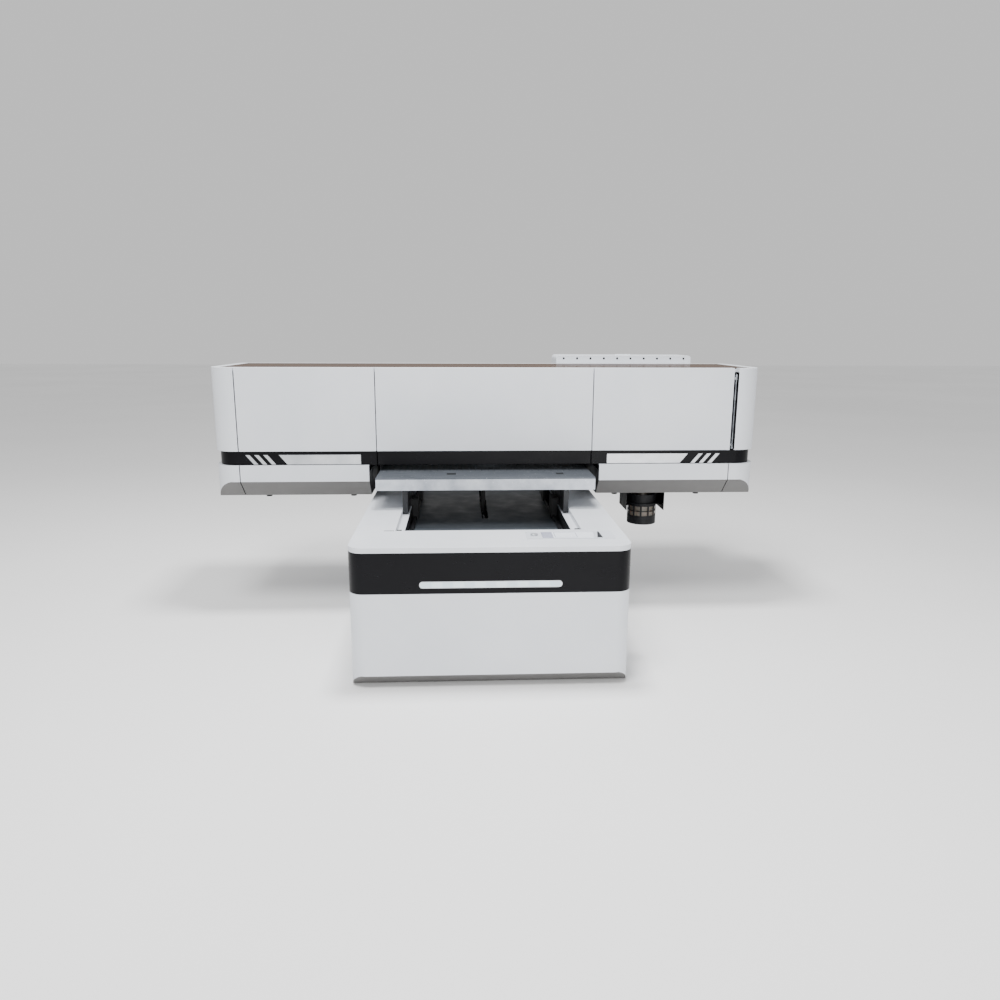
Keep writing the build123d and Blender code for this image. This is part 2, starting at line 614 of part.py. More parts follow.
def lower_panels():
    """White covers of the wings, with a ledge on top that meets the black band."""
    strip = bridge_ring(0, SHEET, WING_BOTTOM, LOWER_TOP) - chamfer_wedge(SHEET)
    ledge = bridge_ring(0, BAND_RECESS + SHEET, LOWER_TOP - SHEET, LOWER_TOP)
    return wings_only(without_corner_seams(strip + ledge), OPENING, REAR_SEAM)


def band_panels():
    return wings_only(bridge_ring(BAND_RECESS, SHEET, LOWER_TOP, DOOR_BOTTOM), CENTRE_HALF + SEAM / 2,
                      REAR_SEAM)


PLATE_HEIGHT = 44.0
PLATE_BOTTOM = LOWER_TOP + 3.0
PLATE_SPAN = 332.0
PLATE_SLANT = 37.0
STRIPE_WIDTH = 19.0
STRIPE_PITCH = 40.0
RIGHT_EXTRA = 10.0          # the right plate is this much longer than the left one


def trim_plates():
    """Blank silver plates on the black band, each followed by three slanted bars."""
    plates = []
    y = BRIDGE_FRONT + BAND_RECESS
    x = CENTRE_HALF + PLATE_MARGIN
    for side, extra in ((-1, 0.0), (1, RIGHT_EXTRA)):
        end = x + PLATE_SPAN + extra
        spans = [(x, end, 0)]
        for bar in range(3):
            left = end + 51.0 + bar * STRIPE_PITCH
            spans.append((left, left + STRIPE_WIDTH, PLATE_SLANT))
        for left, right, lean in spans:
            outline = [(left, 0), (right, 0), (right + PLATE_SLANT, PLATE_HEIGHT), (left + lean, PLATE_HEIGHT)]
            face = make_face(Polyline(*[(side * across, up) for across, up in outline], close=True))
            plates.append(Pos(0, y, PLATE_BOTTOM) * Rot(90, 0, 0) * extrude(face, amount=2.0, dir=(0, 0, 1)))
    return plates


def corner_columns():
    """Rounded corner columns that run back into the side covers."""
    shell = bridge_ring(0, SHEET, DOOR_BOTTOM, BRIDGE_TOP)
    shell += bridge_ring(0, BAND_RECESS + SHEET, DOOR_BOTTOM, DOOR_BOTTOM + SHEET)
    left = shell & block(-FAR, LEFT_SEAM - SEAM / 2, -FAR, REAR_SEAM, 0, FAR)
    right = shell & block(RIGHT_SEAM, FAR, -FAR, REAR_SEAM, 0, FAR)
    return [left, right]


def rear_cover():
    shell = bridge_ring(0, SHEET, WING_BOTTOM, FRAME_UNDER) & block(-FAR, FAR, REAR_SEAM, FAR, 0, FAR)
    return shell - block(-OPENING - SHEET, OPENING + SHEET, 0, FAR, 0, LOWER_TOP)


def door_tray(x0, x1):
    """A folded door open at its back, with its four edges turned in."""
    y0 = BRIDGE_FRONT
    outer = block(x0, x1, y0, y0 + DOOR_DEPTH, DOOR_BOTTOM, BRIDGE_TOP)
    outer = fillet(outer.edges().group_by(Axis.Y)[0], 1.5)
    hollow = block(x0 + SHEET, x1 - SHEET, y0 + SHEET, y0 + DOOR_DEPTH, DOOR_BOTTOM + SHEET, BRIDGE_TOP - SHEET)
    return outer - hollow


def left_door():
    return door_tray(LEFT_SEAM + SEAM / 2, -CENTRE_HALF - SEAM / 2)


APRON_DEPTH = 20.0


def centre_door():
    """The middle door and the black apron that hangs under it over the table."""
    half = CENTRE_HALF - SEAM / 2
    y0 = BRIDGE_FRONT + BAND_RECESS
    apron = block(-half, half, y0, y0 + APRON_DEPTH, LOWER_TOP, DOOR_BOTTOM)
    apron -= block(-half + SHEET, half - SHEET, y0 + SHEET, y0 + APRON_DEPTH, LOWER_TOP + SHEET,
                   DOOR_BOTTOM - SHEET)
    return [door_tray(-half, half), apron]


HINGE_RADIUS = 4.0
KNUCKLE = 12.0


def hinge_heights():
    """Undersides of the lower and the upper fixed bush of the right door's rod."""
    return DOOR_BOTTOM + 6.0, FRAME_UNDER - POST_CAP - 4.0 - KNUCKLE


def right_door():
    """The right door with the two knuckles that turn on the hinge rod."""
    edge = RIGHT_SEAM - HINGE_GAP
    door = door_tray(CENTRE_HALF + SEAM / 2, edge)
    low, high = hinge_heights()
    for z in (low + KNUCKLE + RUN_GAP, high - KNUCKLE - RUN_GAP):
        arm = block(edge - 1, HINGE_X, HINGE_Y - 4.0, HINGE_Y + 4.0, z, z + KNUCKLE)
        arm += upright_rod(HINGE_X, HINGE_Y, z, z + KNUCKLE, HINGE_RADIUS + 2.5)
        door += arm - upright_rod(HINGE_X, HINGE_Y, z, z + KNUCKLE, HINGE_RADIUS + FIT)
    return door


def hinge_rod():
    """The right door's rod between its two fixed bushes."""
    low, high = hinge_heights()
    rod = upright_rod(HINGE_X, HINGE_Y, low, high + KNUCKLE, HINGE_RADIUS)
    for z in (low, high):
        bush = upright_rod(HINGE_X, HINGE_Y, z, z + KNUCKLE, HINGE_RADIUS + 2.5)
        bush += block(HINGE_X - 4.0, HINGE_X + 4.0, HINGE_Y, POST_FRONT, z + 1, z + KNUCKLE - 1)
        rod += bush
    return rod


def lid_place(gap):
    """Left, right, front and rear edge of the lid's opening, moved in by the gap."""
    front = BRIDGE_FRONT + DOOR_DEPTH + RUN_GAP
    return (BRIDGE_LEFT + LID_BORDER + gap, BRIDGE_RIGHT - LID_BORDER - gap,
            front + 24.0 + gap, BRIDGE_REAR - LID_BORDER - gap)


def top_frame():
    """The rim round the lid, with a step that the lid lies on."""
    front = BRIDGE_FRONT + DOOR_DEPTH + RUN_GAP
    slab = bridge_form(SHEET, FRAME_UNDER, BRIDGE_TOP)
    slab -= block(LEFT_SEAM - SEAM / 2, RIGHT_SEAM, -FAR, front, 0, FAR)
    x0, x1, y0, y1 = lid_place(0)
    slab -= block(x0, x1, y0, y1, BRIDGE_TOP - LID_THICK, FAR)
    slab -= block(RIGHT_SEAM - HINGE_GAP, RIGHT_SEAM, -FAR, y0, 0, FAR)
    return slab - block(x0 + 14, x1 - 14, y0 + 14, y1 - 14, 0, FAR)


def top_lid():
    """Tinted acrylic sheet with a pull tab slot near its front edge."""
    x0, x1, y0, y1 = lid_place(1.5)
    sheet = block(x0, x1, y0, y1, BRIDGE_TOP - LID_THICK + 0.3, BRIDGE_TOP)
    return sheet - (Pos((x0 + x1) / 2, y0 + 26.0, BRIDGE_TOP) * extrude(SlotOverall(90, 22), 20, both=True))


# ---- print carriage ----------------------------------------------------------------------------
MOTOR_Z = HEAD_REST + 285.0
LIFT_DOWN = 40.0


def carriage_plate():
    """Back plate on four guide blocks, with the belt clip and the lift motor on its bracket."""
    x0 = CARRIAGE_PARK - CARRIAGE_WIDTH / 2
    x1 = CARRIAGE_PARK + CARRIAGE_WIDTH / 2
    plate = block(x0, x1, PLATE_FRONT, PLATE_BACK, BEAM_BOTTOM - 5, BEAM_TOP + 8.0)
    plate += block(CARRIAGE_PARK - 30, CARRIAGE_PARK + 30, PLATE_FRONT, PLATE_BACK, BEAM_TOP, MOTOR_Z)
    plate += block(CARRIAGE_PARK - 30, CARRIAGE_PARK + 30, SCREW_Y - 21, PLATE_FRONT, MOTOR_Z - 6, MOTOR_Z)
    plate -= upright_rod(CARRIAGE_PARK, SCREW_Y, 0, FAR, 5.0 + FIT)
    pieces = [plate]
    for z in beam_rail_heights():
        for x in (x0 + 5.0, x1 - 65.0):
            guide = block(x, x + 60.0, PLATE_BACK, UPRIGHT_FRONT - 4.0, z - 16.0, z + 16.0)
            pieces.append(guide - block(x, x + 60.0, RAIL_FRONT - RUN_GAP, FAR,
                                        z - RAIL_SIZE / 2 - RUN_GAP, z + RAIL_SIZE / 2 + RUN_GAP))
    motor = block(CARRIAGE_PARK - 21, CARRIAGE_PARK + 21, SCREW_Y - 21, SCREW_Y + 21, MOTOR_Z, MOTOR_Z + 50.0)
    clip_top = BELT_AXIS_Z - PULLEY_RADIUS - BELT_THICK - 0.4
    clip = block(CARRIAGE_PARK - 80, CARRIAGE_PARK - 50, PLATE_BACK, BELT_Y + 5.0, BEAM_TOP + 2.0, clip_top)
    return pieces + [motor, clip]


def lift_screw():
    return upright_rod(CARRIAGE_PARK, SCREW_Y, HEAD_REST + 45.0, MOTOR_Z, 5.0)


def lift_plate():
    """The plate that carries the heads, with the nut of the lift screw."""
    x0 = CARRIAGE_PARK - 80.0
    x1 = CARRIAGE_PARK + 80.0
    plate = block(x0, x1, LIFT_FRONT, LIFT_BACK, HEAD_REST + 5.0, HEAD_REST + 195.0)
    nut = block(CARRIAGE_PARK - 14, CARRIAGE_PARK + 14, SCREW_Y - 13, LIFT_FRONT, HEAD_REST + 150.0,
                HEAD_REST + 180.0)
    nut -= upright_rod(CARRIAGE_PARK, SCREW_Y, 0, FAR, 5.0 + FIT)
    shelf = block(x0, x1, HEAD_FRONT, LIFT_FRONT, HEAD_REST + 20.0, HEAD_REST + 28.0)
    shelf -= upright_rod(CARRIAGE_PARK, SCREW_Y, 0, FAR, 8.0)
    for head in range(HEAD_COUNT):
        x = CARRIAGE_PARK + (head - (HEAD_COUNT - 1) / 2) * HEAD_PITCH
        shelf -= block(x - HEAD_WIDTH / 2, x + HEAD_WIDTH / 2, HEAD_FRONT + 8, HEAD_FRONT + 8 + HEAD_LENGTH,
                       0, FAR)
    return plate + nut + shelf


COVER_BACK = SCREW_Y - 14.0
HEAD_FRONT = HEAD_LINE - 90.0
COVER_FRONT = HEAD_FRONT - 20.0
COVER_HALF = 115.0


def print_heads():
    heads = []
    for head in range(HEAD_COUNT):
        x = CARRIAGE_PARK + (head - (HEAD_COUNT - 1) / 2) * HEAD_PITCH
        y0 = HEAD_FRONT + 8
        body = block(x - HEAD_WIDTH / 2, x + HEAD_WIDTH / 2, y0, y0 + HEAD_LENGTH, HEAD_REST + 10, HEAD_REST + 75)
        nose = block(x - HEAD_WIDTH / 2 + 6, x + HEAD_WIDTH / 2 - 6, y0 + 8, y0 + HEAD_LENGTH - 8,
                     HEAD_REST, HEAD_REST + 10)
        heads.append(body + nose)
    return heads


def head_cover():
    x0 = CARRIAGE_PARK - COVER_HALF
    x1 = CARRIAGE_PARK + COVER_HALF
    z0 = HEAD_REST + 20.0
    z1 = HEAD_REST + 205.0
    cover = block(x0, x1, COVER_FRONT, COVER_BACK, z0, z1)
    cover = fillet(cover.edges().filter_by(Axis.Z).group_by(Axis.Y)[0], 14.0)
    return cover - block(x0 + SHEET, x1 - SHEET, COVER_FRONT + 15.0, COVER_BACK, z0 - 1, z1 - SHEET)


def uv_lamps():
    lamps = []
    for side in (-1, 1):
        x0, x1 = sorted((CARRIAGE_PARK + side * COVER_HALF, CARRIAGE_PARK + side * (COVER_HALF + LAMP_WIDTH)))
        lamp = block(x0, x1, HEAD_LINE - 65.0, HEAD_LINE + 65.0, HEAD_REST + 12.0, HEAD_REST + 110.0)
        for fin in range(5):
            y = HEAD_LINE - 54.0 + fin * 25.0
            lamp -= block(x0, x1, y, y + 8.0, HEAD_REST + 85.0, FAR)
        lamps.append(lamp)
    return lamps


def pulley_places():
    """X of the left idler and of the right drive pulley."""
    return BEAM_LEFT + 40.0, BEAM_RIGHT - 40.0


def drive_belt():
    """A closed toothed belt, straight between its two pulleys."""
    left, right = pulley_places()
    loops = []
    for growth in (BELT_THICK, 0.0):
        radius = PULLEY_RADIUS + 0.1 + growth
        slot = extrude(SlotCenterToCenter(right - left, 2 * radius), amount=BELT_WIDTH / 2, both=True)
        loops.append(Pos((left + right) / 2, BELT_Y, BELT_AXIS_Z) * Rot(90, 0, 0) * slot)
    return loops[0] - loops[1]


def pulley(x, shaft_end):
    wheel = rod_along_y(x, BELT_AXIS_Z, BELT_Y - 6.0, BELT_Y + 6.0, PULLEY_RADIUS)
    wheel += rod_along_y(x, BELT_AXIS_Z, BELT_Y - 6.0, shaft_end, 4.0)
    for tooth in range(20):
        groove = Pos(x, BELT_Y, BELT_AXIS_Z) * Rot(0, tooth * 18.0, 0) * Pos(0, 0, PULLEY_RADIUS) \
            * Box(1.2, 14.0, 1.6)
        wheel -= groove
    return wheel


def drive_pulley():
    return pulley(pulley_places()[1], BELT_Y + 24.0 - RUN_GAP)


def idler_pulley():
    return pulley(pulley_places()[0], BELT_Y + 20.0)


# ---- service station ---------------------------------------------------------------------------
CAP_TRAVEL = 12.0
CAP_TOP = HEAD_REST - LIFT_DOWN - CAP_TRAVEL - 4.0
STATION_FLOOR = WING_BOTTOM + SHEET
STATION_TOP = CAP_TOP - 30.0


def station_half():
    return (HEAD_COUNT * HEAD_PITCH + 10.0) / 2


def cap_station():
    """Tray with four guide pins under the parked heads, and the wiper's rail beside it."""
    half = station_half()
    x0 = CARRIAGE_PARK - half
    x1 = CARRIAGE_PARK + half
    y0 = HEAD_LINE - 85.0
    y1 = HEAD_LINE + 85.0
    tray = block(x0, x1, y0, y1, STATION_FLOOR, STATION_TOP - 15.0)
    tray -= block(x0 + 6, x1 - 6, y0 + 6, y1 - 6, STATION_FLOOR + 6, FAR)
    for x in (x0 + 16, x1 - 16):
        for y in (y0 + 16, y1 - 16):
            tray += upright_rod(x, y, STATION_FLOOR + 6, STATION_TOP + 14.0, 4.0)
    x = wiper_middle()
    rail = block(x - 9, x + 9, HEAD_LINE - 95.0, HEAD_LINE + 75.0, STATION_FLOOR, STATION_FLOOR + 12.0)
    return [tray, rail]


def cap_lift():
    """The plate that lifts one rubber-lipped cap against each head."""
    half = station_half()
    x0 = CARRIAGE_PARK - half
    x1 = CARRIAGE_PARK + half
    y0 = HEAD_LINE - 85.0
    y1 = HEAD_LINE + 85.0
    plate = block(x0, x1, y0, y1, STATION_TOP, STATION_TOP + 6.0)
    for x in (x0 + 16, x1 - 16):
        for y in (y0 + 16, y1 - 16):
            plate -= upright_rod(x, y, 0, FAR, 4.0 + FIT)
    for head in range(HEAD_COUNT):
        x = CARRIAGE_PARK + (head - (HEAD_COUNT - 1) / 2) * HEAD_PITCH
        cup = block(x - 20, x + 20, HEAD_LINE - 62, HEAD_LINE + 62, STATION_TOP + 6.0, CAP_TOP)
        plate += cup - block(x - 16, x + 16, HEAD_LINE - 58, HEAD_LINE + 58, STATION_TOP + 9.0, FAR)
    return plate


def wiper_middle():
    return CARRIAGE_PARK - station_half() - 40.0


def wiper():
    """Rubber blade in a holder that slides along its own low rail."""
    x = wiper_middle()
    y = HEAD_LINE - 70.0
    holder = block(x - 20, x + 20, y - 15, y + 15, STATION_FLOOR + 12.0 + RUN_GAP, CAP_TOP - 30.0)
    return holder + block(x - 16, x + 16, y - 1.5, y + 1.5, CAP_TOP - 30.0, CAP_TOP + 2.0)


# ---- ink and waste -----------------------------------------------------------------------------
INK_TOP = BRIDGE_TOP + INK_BOX_RISE
HATCH_BORDER = 22.0


def ink_form(inset, z0):
    """A box with its two upper long edges rounded."""
    x0 = INK_BOX_LEFT + inset
    x1 = INK_BOX_LEFT + INK_BOX_WIDTH - inset
    form = block(x0, x1, BRIDGE_REAR + inset, BRIDGE_REAR + INK_BOX_DEPTH - inset, z0, INK_TOP - inset)
    top = form.edges().filter_by(Axis.Y).group_by(Axis.Z)[-1]
    return fillet(top, INK_BOX_ROUND - inset)


def hatch_form(gap, z0):
    return block(INK_BOX_LEFT + HATCH_BORDER + gap, INK_BOX_LEFT + INK_BOX_WIDTH - HATCH_BORDER - gap,
                 BRIDGE_REAR + HATCH_BORDER + gap, BRIDGE_REAR + INK_BOX_DEPTH - HATCH_BORDER - gap,
                 z0, INK_TOP)


def ink_box():
    bottom = INK_TOP - INK_BOX_HEIGHT
    shell = ink_form(0, bottom) - ink_form(SHEET, bottom + SHEET)
    return shell - hatch_form(0, bottom + 20.0)


def ink_box_lid():
    plate = hatch_form(1.0, INK_TOP - SHEET)
    x = INK_BOX_LEFT + INK_BOX_WIDTH / 2
    return plate + block(x - 40, x + 40, BRIDGE_REAR + HATCH_BORDER + 8, BRIDGE_REAR + HATCH_BORDER + 16,
                         INK_TOP, INK_TOP + 6.0)


def ink_tanks():
    tanks = []
    pitch = (INK_BOX_WIDTH - 60.0) / INK_TANKS
    bottom = INK_TOP - INK_BOX_HEIGHT + SHEET
    for number in range(INK_TANKS):
        x = INK_BOX_LEFT + 30.0 + (number + 0.5) * pitch
        y = BRIDGE_REAR + INK_BOX_DEPTH / 2
        tank = Pos(x, y, bottom + 80.0) * Box(pitch - 6.0, 140.0, 160.0)
        tank = fillet(tank.edges().filter_by(Axis.Z), 8.0)
        tanks.append(tank + upright_rod(x, y - 40.0, bottom + 160.0, bottom + 185.0, 16.0))
    return tanks


CAGE_GAP = 3.0
FLANGE_LIFT = 0.3
SHELF_Z = BRACKET_BOTTOM + 26.0
FLANGE_RADIUS = BRACKET_WIDTH / 2 - SHEET - 2.0


def bottle_bracket():
    """U-shaped sheet round the sides and back of the bottle, with a shelf for the cage's flange."""
    x0 = BOTTLE_X - BRACKET_WIDTH / 2
    x1 = BOTTLE_X + BRACKET_WIDTH / 2
    y0 = BOTTLE_Y - 73.0
    y1 = BOTTLE_Y + FLANGE_RADIUS + 2.0 + SHEET
    walls = block(x0, x1, y0, y1, BRACKET_BOTTOM, WING_BOTTOM)
    walls -= block(x0 + SHEET, x1 - SHEET, -FAR, y1 - SHEET, 0, FAR)
    shelf = block(x0 + SHEET, x1 - SHEET, y0, y1 - SHEET, SHELF_Z, SHELF_Z + SHEET)
    slot = BOTTLE_DIAMETER / 2 + CAGE_GAP
    shelf -= block(BOTTLE_X - slot, BOTTLE_X + slot, -FAR, BOTTLE_Y, 0, FAR)
    return walls + (shelf - upright_rod(BOTTLE_X, BOTTLE_Y, SHELF_Z, SHELF_Z + SHEET, slot))


WINDOW_WIDTH = 29.0
WINDOW_HEIGHT = 22.0


def bottle_cage():
    """Black holder with two rows of windows and a flange that hangs on the bracket's shelf."""
    radius = BOTTLE_DIAMETER / 2
    top = BOTTLE_BOTTOM + BOTTLE_HEIGHT - 25.0
    cage = upright_rod(BOTTLE_X, BOTTLE_Y, BOTTLE_BOTTOM, top, radius)
    flange = SHELF_Z + SHEET + FLANGE_LIFT
    cage += upright_rod(BOTTLE_X, BOTTLE_Y, flange, flange + 5.0, FLANGE_RADIUS)
    cage -= upright_rod(BOTTLE_X, BOTTLE_Y, BOTTLE_BOTTOM + 3.0, top, radius - SHEET)
    for low in (42.0, 68.0):
        middle = BOTTLE_BOTTOM + low + WINDOW_HEIGHT / 2
        for turn in range(12):
            cage -= Pos(BOTTLE_X, BOTTLE_Y, middle) * Rot(0, 0, turn * 30.0) * Pos(radius, 0, 0) \
                * Box(20.0, WINDOW_WIDTH, WINDOW_HEIGHT)
    return cage


def waste_bottle():
    radius = BOTTLE_DIAMETER / 2 - SHEET - 1.0
    bottom = BOTTLE_BOTTOM + 3.0
    body = upright_rod(BOTTLE_X, BOTTLE_Y, bottom, bottom + 135.0, radius)
    body = fillet(body.edges().group_by(Axis.Z)[-1], 14.0)
    return body + upright_rod(BOTTLE_X, BOTTLE_Y, bottom + 135.0, BOTTLE_BOTTOM + BOTTLE_HEIGHT, 24.0)


def rubber_bumpers():
    """Buffers under the wings and end stops in the table's channel."""
    bumpers = []
    y = BRIDGE_FRONT + CHAMFER_SLOPE + 19.0
    for x in (-OPENING - 479.0, -OPENING - 86.0, OPENING + 93.0, OPENING + 487.0):
        bumpers.append(upright_rod(x, y, WING_BOTTOM - BUMPER_HEIGHT, WING_BOTTOM, BUMPER_DIAMETER / 2))
    x = RUNNER_X
    stop = block(x - 10, x + 10, CHANNEL_Y0 + 1, CHANNEL_Y0 + 36.0, LEDGE_TOP, LEDGE_TOP + 18.0)
    return bumpers + both_sides(stop)


# ---- table -------------------------------------------------------------------------------------
LATCH_LENGTH = 45.0
LATCH_SETBACK = 82.0


def latch_places():
    """Left and right edge of the two finger recesses near the table's front."""
    half = TABLE_WIDTH / 2
    return (306.5 - half, 347.5 - half), (half - 162.0, half - 128.0)


def vacuum_plate():
    """Top sheet of the table with the two finger recesses."""
    half = TABLE_WIDTH / 2
    sheet = block(-half, half, TABLE_FRONT, TABLE_REAR, TABLE_TOP - TABLE_SKIN, TABLE_TOP)
    sheet = chamfer(sheet.edges().group_by(Axis.Z)[-1], 1.5)
    for x0, x1 in latch_places():
        y = TABLE_FRONT + LATCH_SETBACK
        sheet -= block(x0, x1, y, y + LATCH_LENGTH, 0, FAR)
    return sheet


def table_frame():
    """Profile frame with cross bars, closed below by a sheet: the vacuum chamber."""
    half = TABLE_WIDTH / 2
    top = TABLE_TOP - TABLE_SKIN
    frame = block(-half, half, TABLE_FRONT, TABLE_REAR, RUNNER_TOP, top)
    chamber_front = TABLE_FRONT + TABLE_MARGIN - 30.0
    middle = (chamber_front + TABLE_REAR - TABLE_RIM) / 2
    for y0, y1 in ((chamber_front, middle - 6), (middle + 6, TABLE_REAR - TABLE_RIM)):
        for x0, x1 in ((-half + TABLE_RIM, -6.0), (6.0, half - TABLE_RIM)):
            frame -= block(x0, x1, y0, y1, RUNNER_TOP + SHEET, top)
    for x0, x1 in latch_places():
        y = TABLE_FRONT + LATCH_SETBACK
        frame -= block(x0, x1, y, y + LATCH_LENGTH, top - 16.0, top)
    return frame


def table_runners():
    y0 = TABLE_FRONT + RUNNER_SETBACK
    x = RUNNER_X
    runner = block(x - RUNNER_WIDTH / 2, x + RUNNER_WIDTH / 2, y0, y0 + RUNNER_LENGTH,
                   LEDGE_TOP + RUNNER_CLEARANCE, RUNNER_TOP)
    return both_sides(fillet(runner.edges().filter_by(Axis.X), 6.0))


def table_bearings():
    """Guide blocks on the rails, joined to the runners, and the bracket with the screw's nut."""
    pieces = []
    x = TABLE_RAIL_X
    inner_face = RUNNER_X - RUNNER_WIDTH / 2
    y0 = TABLE_FRONT + RUNNER_SETBACK
    for y in (y0 + 160.0, y0 + RUNNER_LENGTH - 160.0):
        guide = block(x - 15, inner_face, y, y + 100.0, LEDGE_TOP + 5.0, LEDGE_TOP + 35.0)
        guide += block(x - 15, x + 11.5, y, y + 100.0, PIT_FLOOR + 5.0, LEDGE_TOP + 5.0)
        guide -= block(x - RAIL_SIZE / 2 - RUN_GAP, x + RAIL_SIZE / 2 + RUN_GAP, y, y + 100.0, 0,
                       PIT_FLOOR + RAIL_SIZE + RUN_GAP)
        pieces += both_sides(guide)
    y0 = NUT_FRONT
    web = block(-NUT_WEB / 2, NUT_WEB / 2, y0, y0 + NUT_LENGTH, SCREW_Z - NUT_RADIUS, RUNNER_TOP - 6.0)
    web += block(-60.0, 60.0, y0, y0 + NUT_LENGTH, RUNNER_TOP - 6.0, RUNNER_TOP)
    web += rod_along_y(0, SCREW_Z, y0, y0 + NUT_LENGTH, NUT_RADIUS)
    web -= rod_along_y(0, SCREW_Z, y0, y0 + NUT_LENGTH, SCREW_RADIUS + FIT)
    pieces.append(web)
    return pieces


def vacuum_blowers():
    """Two radial blowers bolted under the vacuum chamber."""
    blowers = []
    for x in (-TABLE_WIDTH * 3 / 16, TABLE_WIDTH * 3 / 16):
        y = TABLE_MIDDLE + 150.0
        housing = upright_rod(x, y, RUNNER_TOP - 60.0, RUNNER_TOP, 70.0)
        housing += block(x - 25, x + 25, y, y + 110.0, RUNNER_TOP - 55.0, RUNNER_TOP - 10.0)
        housing -= upright_rod(x, y, RUNNER_TOP - 60.0, RUNNER_TOP - 8.0, 30.0)
        housing += upright_rod(x, y, RUNNER_TOP - 52.0, RUNNER_TOP - 8.0, 14.0)
        blowers.append(housing)
    return blowers


NODES = {
    "anchor_feet": anchor_feet, "base_frame": base_frame, "base_skirt": base_skirt,
    "front_panel": front_panel, "side_panels": side_panels, "rear_panel": rear_panel,
    "front_band": front_band, "light_bar": light_bar, "deck_panels": deck_panels,
    "channel_tray": channel_tray, "guide_rails": guide_rails, "table_screw": table_screw,
    "drive_motors": drive_motors, "display_bezel": display_bezel, "display_screen": display_screen,
    "power_button": power_button, "estop_base": estop_base, "estop_button": estop_button,
    "main_switch": main_switch, "power_inlet": power_inlet, "rear_fan": rear_fan,
    "bridge_frame": bridge_frame, "bridge_beam": bridge_beam, "chamfer_panels": chamfer_panels,
    "wing_trays": wing_trays, "lower_panels": lower_panels, "band_panels": band_panels,
    "trim_plates": trim_plates, "corner_columns": corner_columns, "rear_cover": rear_cover,
    "left_door": left_door, "centre_door": centre_door, "right_door": right_door,
    "hinge_rod": hinge_rod, "top_frame": top_frame, "top_lid": top_lid,
    "carriage_plate": carriage_plate, "lift_screw": lift_screw, "lift_plate": lift_plate,
    "print_heads": print_heads, "head_cover": head_cover, "uv_lamps": uv_lamps,
    "drive_belt": drive_belt, "drive_pulley": drive_pulley, "idler_pulley": idler_pulley,
    "cap_station": cap_station, "cap_lift": cap_lift, "wiper": wiper, "ink_box": ink_box,
    "ink_box_lid": ink_box_lid, "ink_tanks": ink_tanks, "bottle_bracket": bottle_bracket,
    "bottle_cage": bottle_cage, "waste_bottle": waste_bottle, "rubber_bumpers": rubber_bumpers,
    "vacuum_plate": vacuum_plate, "table_frame": table_frame, "table_runners": table_runners,
    "table_bearings": table_bearings, "vacuum_blowers": vacuum_blowers,
}

os.makedirs("parts", exist_ok=True)
for node, make in NODES.items():
    made = make()
    save(node, *(made if isinstance(made, list) else [made]))
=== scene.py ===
import json
import math

import bmesh
import bpy
from mathutils import Matrix, Vector

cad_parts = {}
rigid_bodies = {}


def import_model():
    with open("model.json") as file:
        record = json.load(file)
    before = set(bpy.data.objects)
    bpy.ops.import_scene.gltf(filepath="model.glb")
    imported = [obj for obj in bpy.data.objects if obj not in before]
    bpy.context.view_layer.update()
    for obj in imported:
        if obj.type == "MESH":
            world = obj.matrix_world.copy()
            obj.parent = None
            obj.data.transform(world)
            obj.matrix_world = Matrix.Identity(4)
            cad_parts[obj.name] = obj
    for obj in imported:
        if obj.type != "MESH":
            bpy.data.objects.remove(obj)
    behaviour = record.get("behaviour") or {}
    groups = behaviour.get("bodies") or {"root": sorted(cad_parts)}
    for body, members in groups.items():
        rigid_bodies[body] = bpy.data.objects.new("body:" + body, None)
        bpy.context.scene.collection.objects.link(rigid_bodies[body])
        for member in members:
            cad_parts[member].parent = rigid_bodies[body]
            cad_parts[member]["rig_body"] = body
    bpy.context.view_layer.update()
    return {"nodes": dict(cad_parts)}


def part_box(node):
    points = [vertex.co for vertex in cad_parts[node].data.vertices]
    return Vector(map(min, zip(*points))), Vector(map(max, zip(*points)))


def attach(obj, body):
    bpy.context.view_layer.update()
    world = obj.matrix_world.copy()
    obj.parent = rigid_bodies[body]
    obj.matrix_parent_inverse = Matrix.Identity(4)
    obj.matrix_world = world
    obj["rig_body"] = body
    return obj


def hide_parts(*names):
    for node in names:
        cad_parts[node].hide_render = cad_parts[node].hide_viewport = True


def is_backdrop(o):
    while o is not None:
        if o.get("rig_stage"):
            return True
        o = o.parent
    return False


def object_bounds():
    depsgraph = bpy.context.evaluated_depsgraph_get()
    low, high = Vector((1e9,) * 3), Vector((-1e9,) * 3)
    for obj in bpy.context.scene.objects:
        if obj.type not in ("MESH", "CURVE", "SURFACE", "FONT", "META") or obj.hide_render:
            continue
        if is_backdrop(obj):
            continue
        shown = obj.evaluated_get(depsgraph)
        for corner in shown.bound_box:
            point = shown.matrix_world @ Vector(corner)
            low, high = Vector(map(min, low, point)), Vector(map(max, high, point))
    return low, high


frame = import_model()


# ---- Frame and feet ----------------------------------------------------------------------------
# A frame welded from square steel tube on six feet of thick plate, all painted dark grey.
# The four corner feet have holes for floor anchors. Covers hide nearly all of it.

def linear(code):
    """A colour written as sRGB hex, in the linear values that shaders use."""
    parts = [int(code[i:i + 2], 16) / 255 for i in (0, 2, 4)]
    return tuple(c / 12.92 if c <= 0.04045 else ((c + 0.055) / 1.055) ** 2.4 for c in parts) + (1.0,)


def add(tree, kind, values=None, links=None, **settings):
    """Adds one node to a tree with its settings, the values of its sockets and the links into them."""
    made = tree.nodes.new(kind)
    for key, value in settings.items():
        setattr(made, key, value)
    for key, value in (values or {}).items():
        made.inputs[key].default_value = value
    for key, source in (links or {}).items():
        tree.links.new(source, made.inputs[key])
    return made


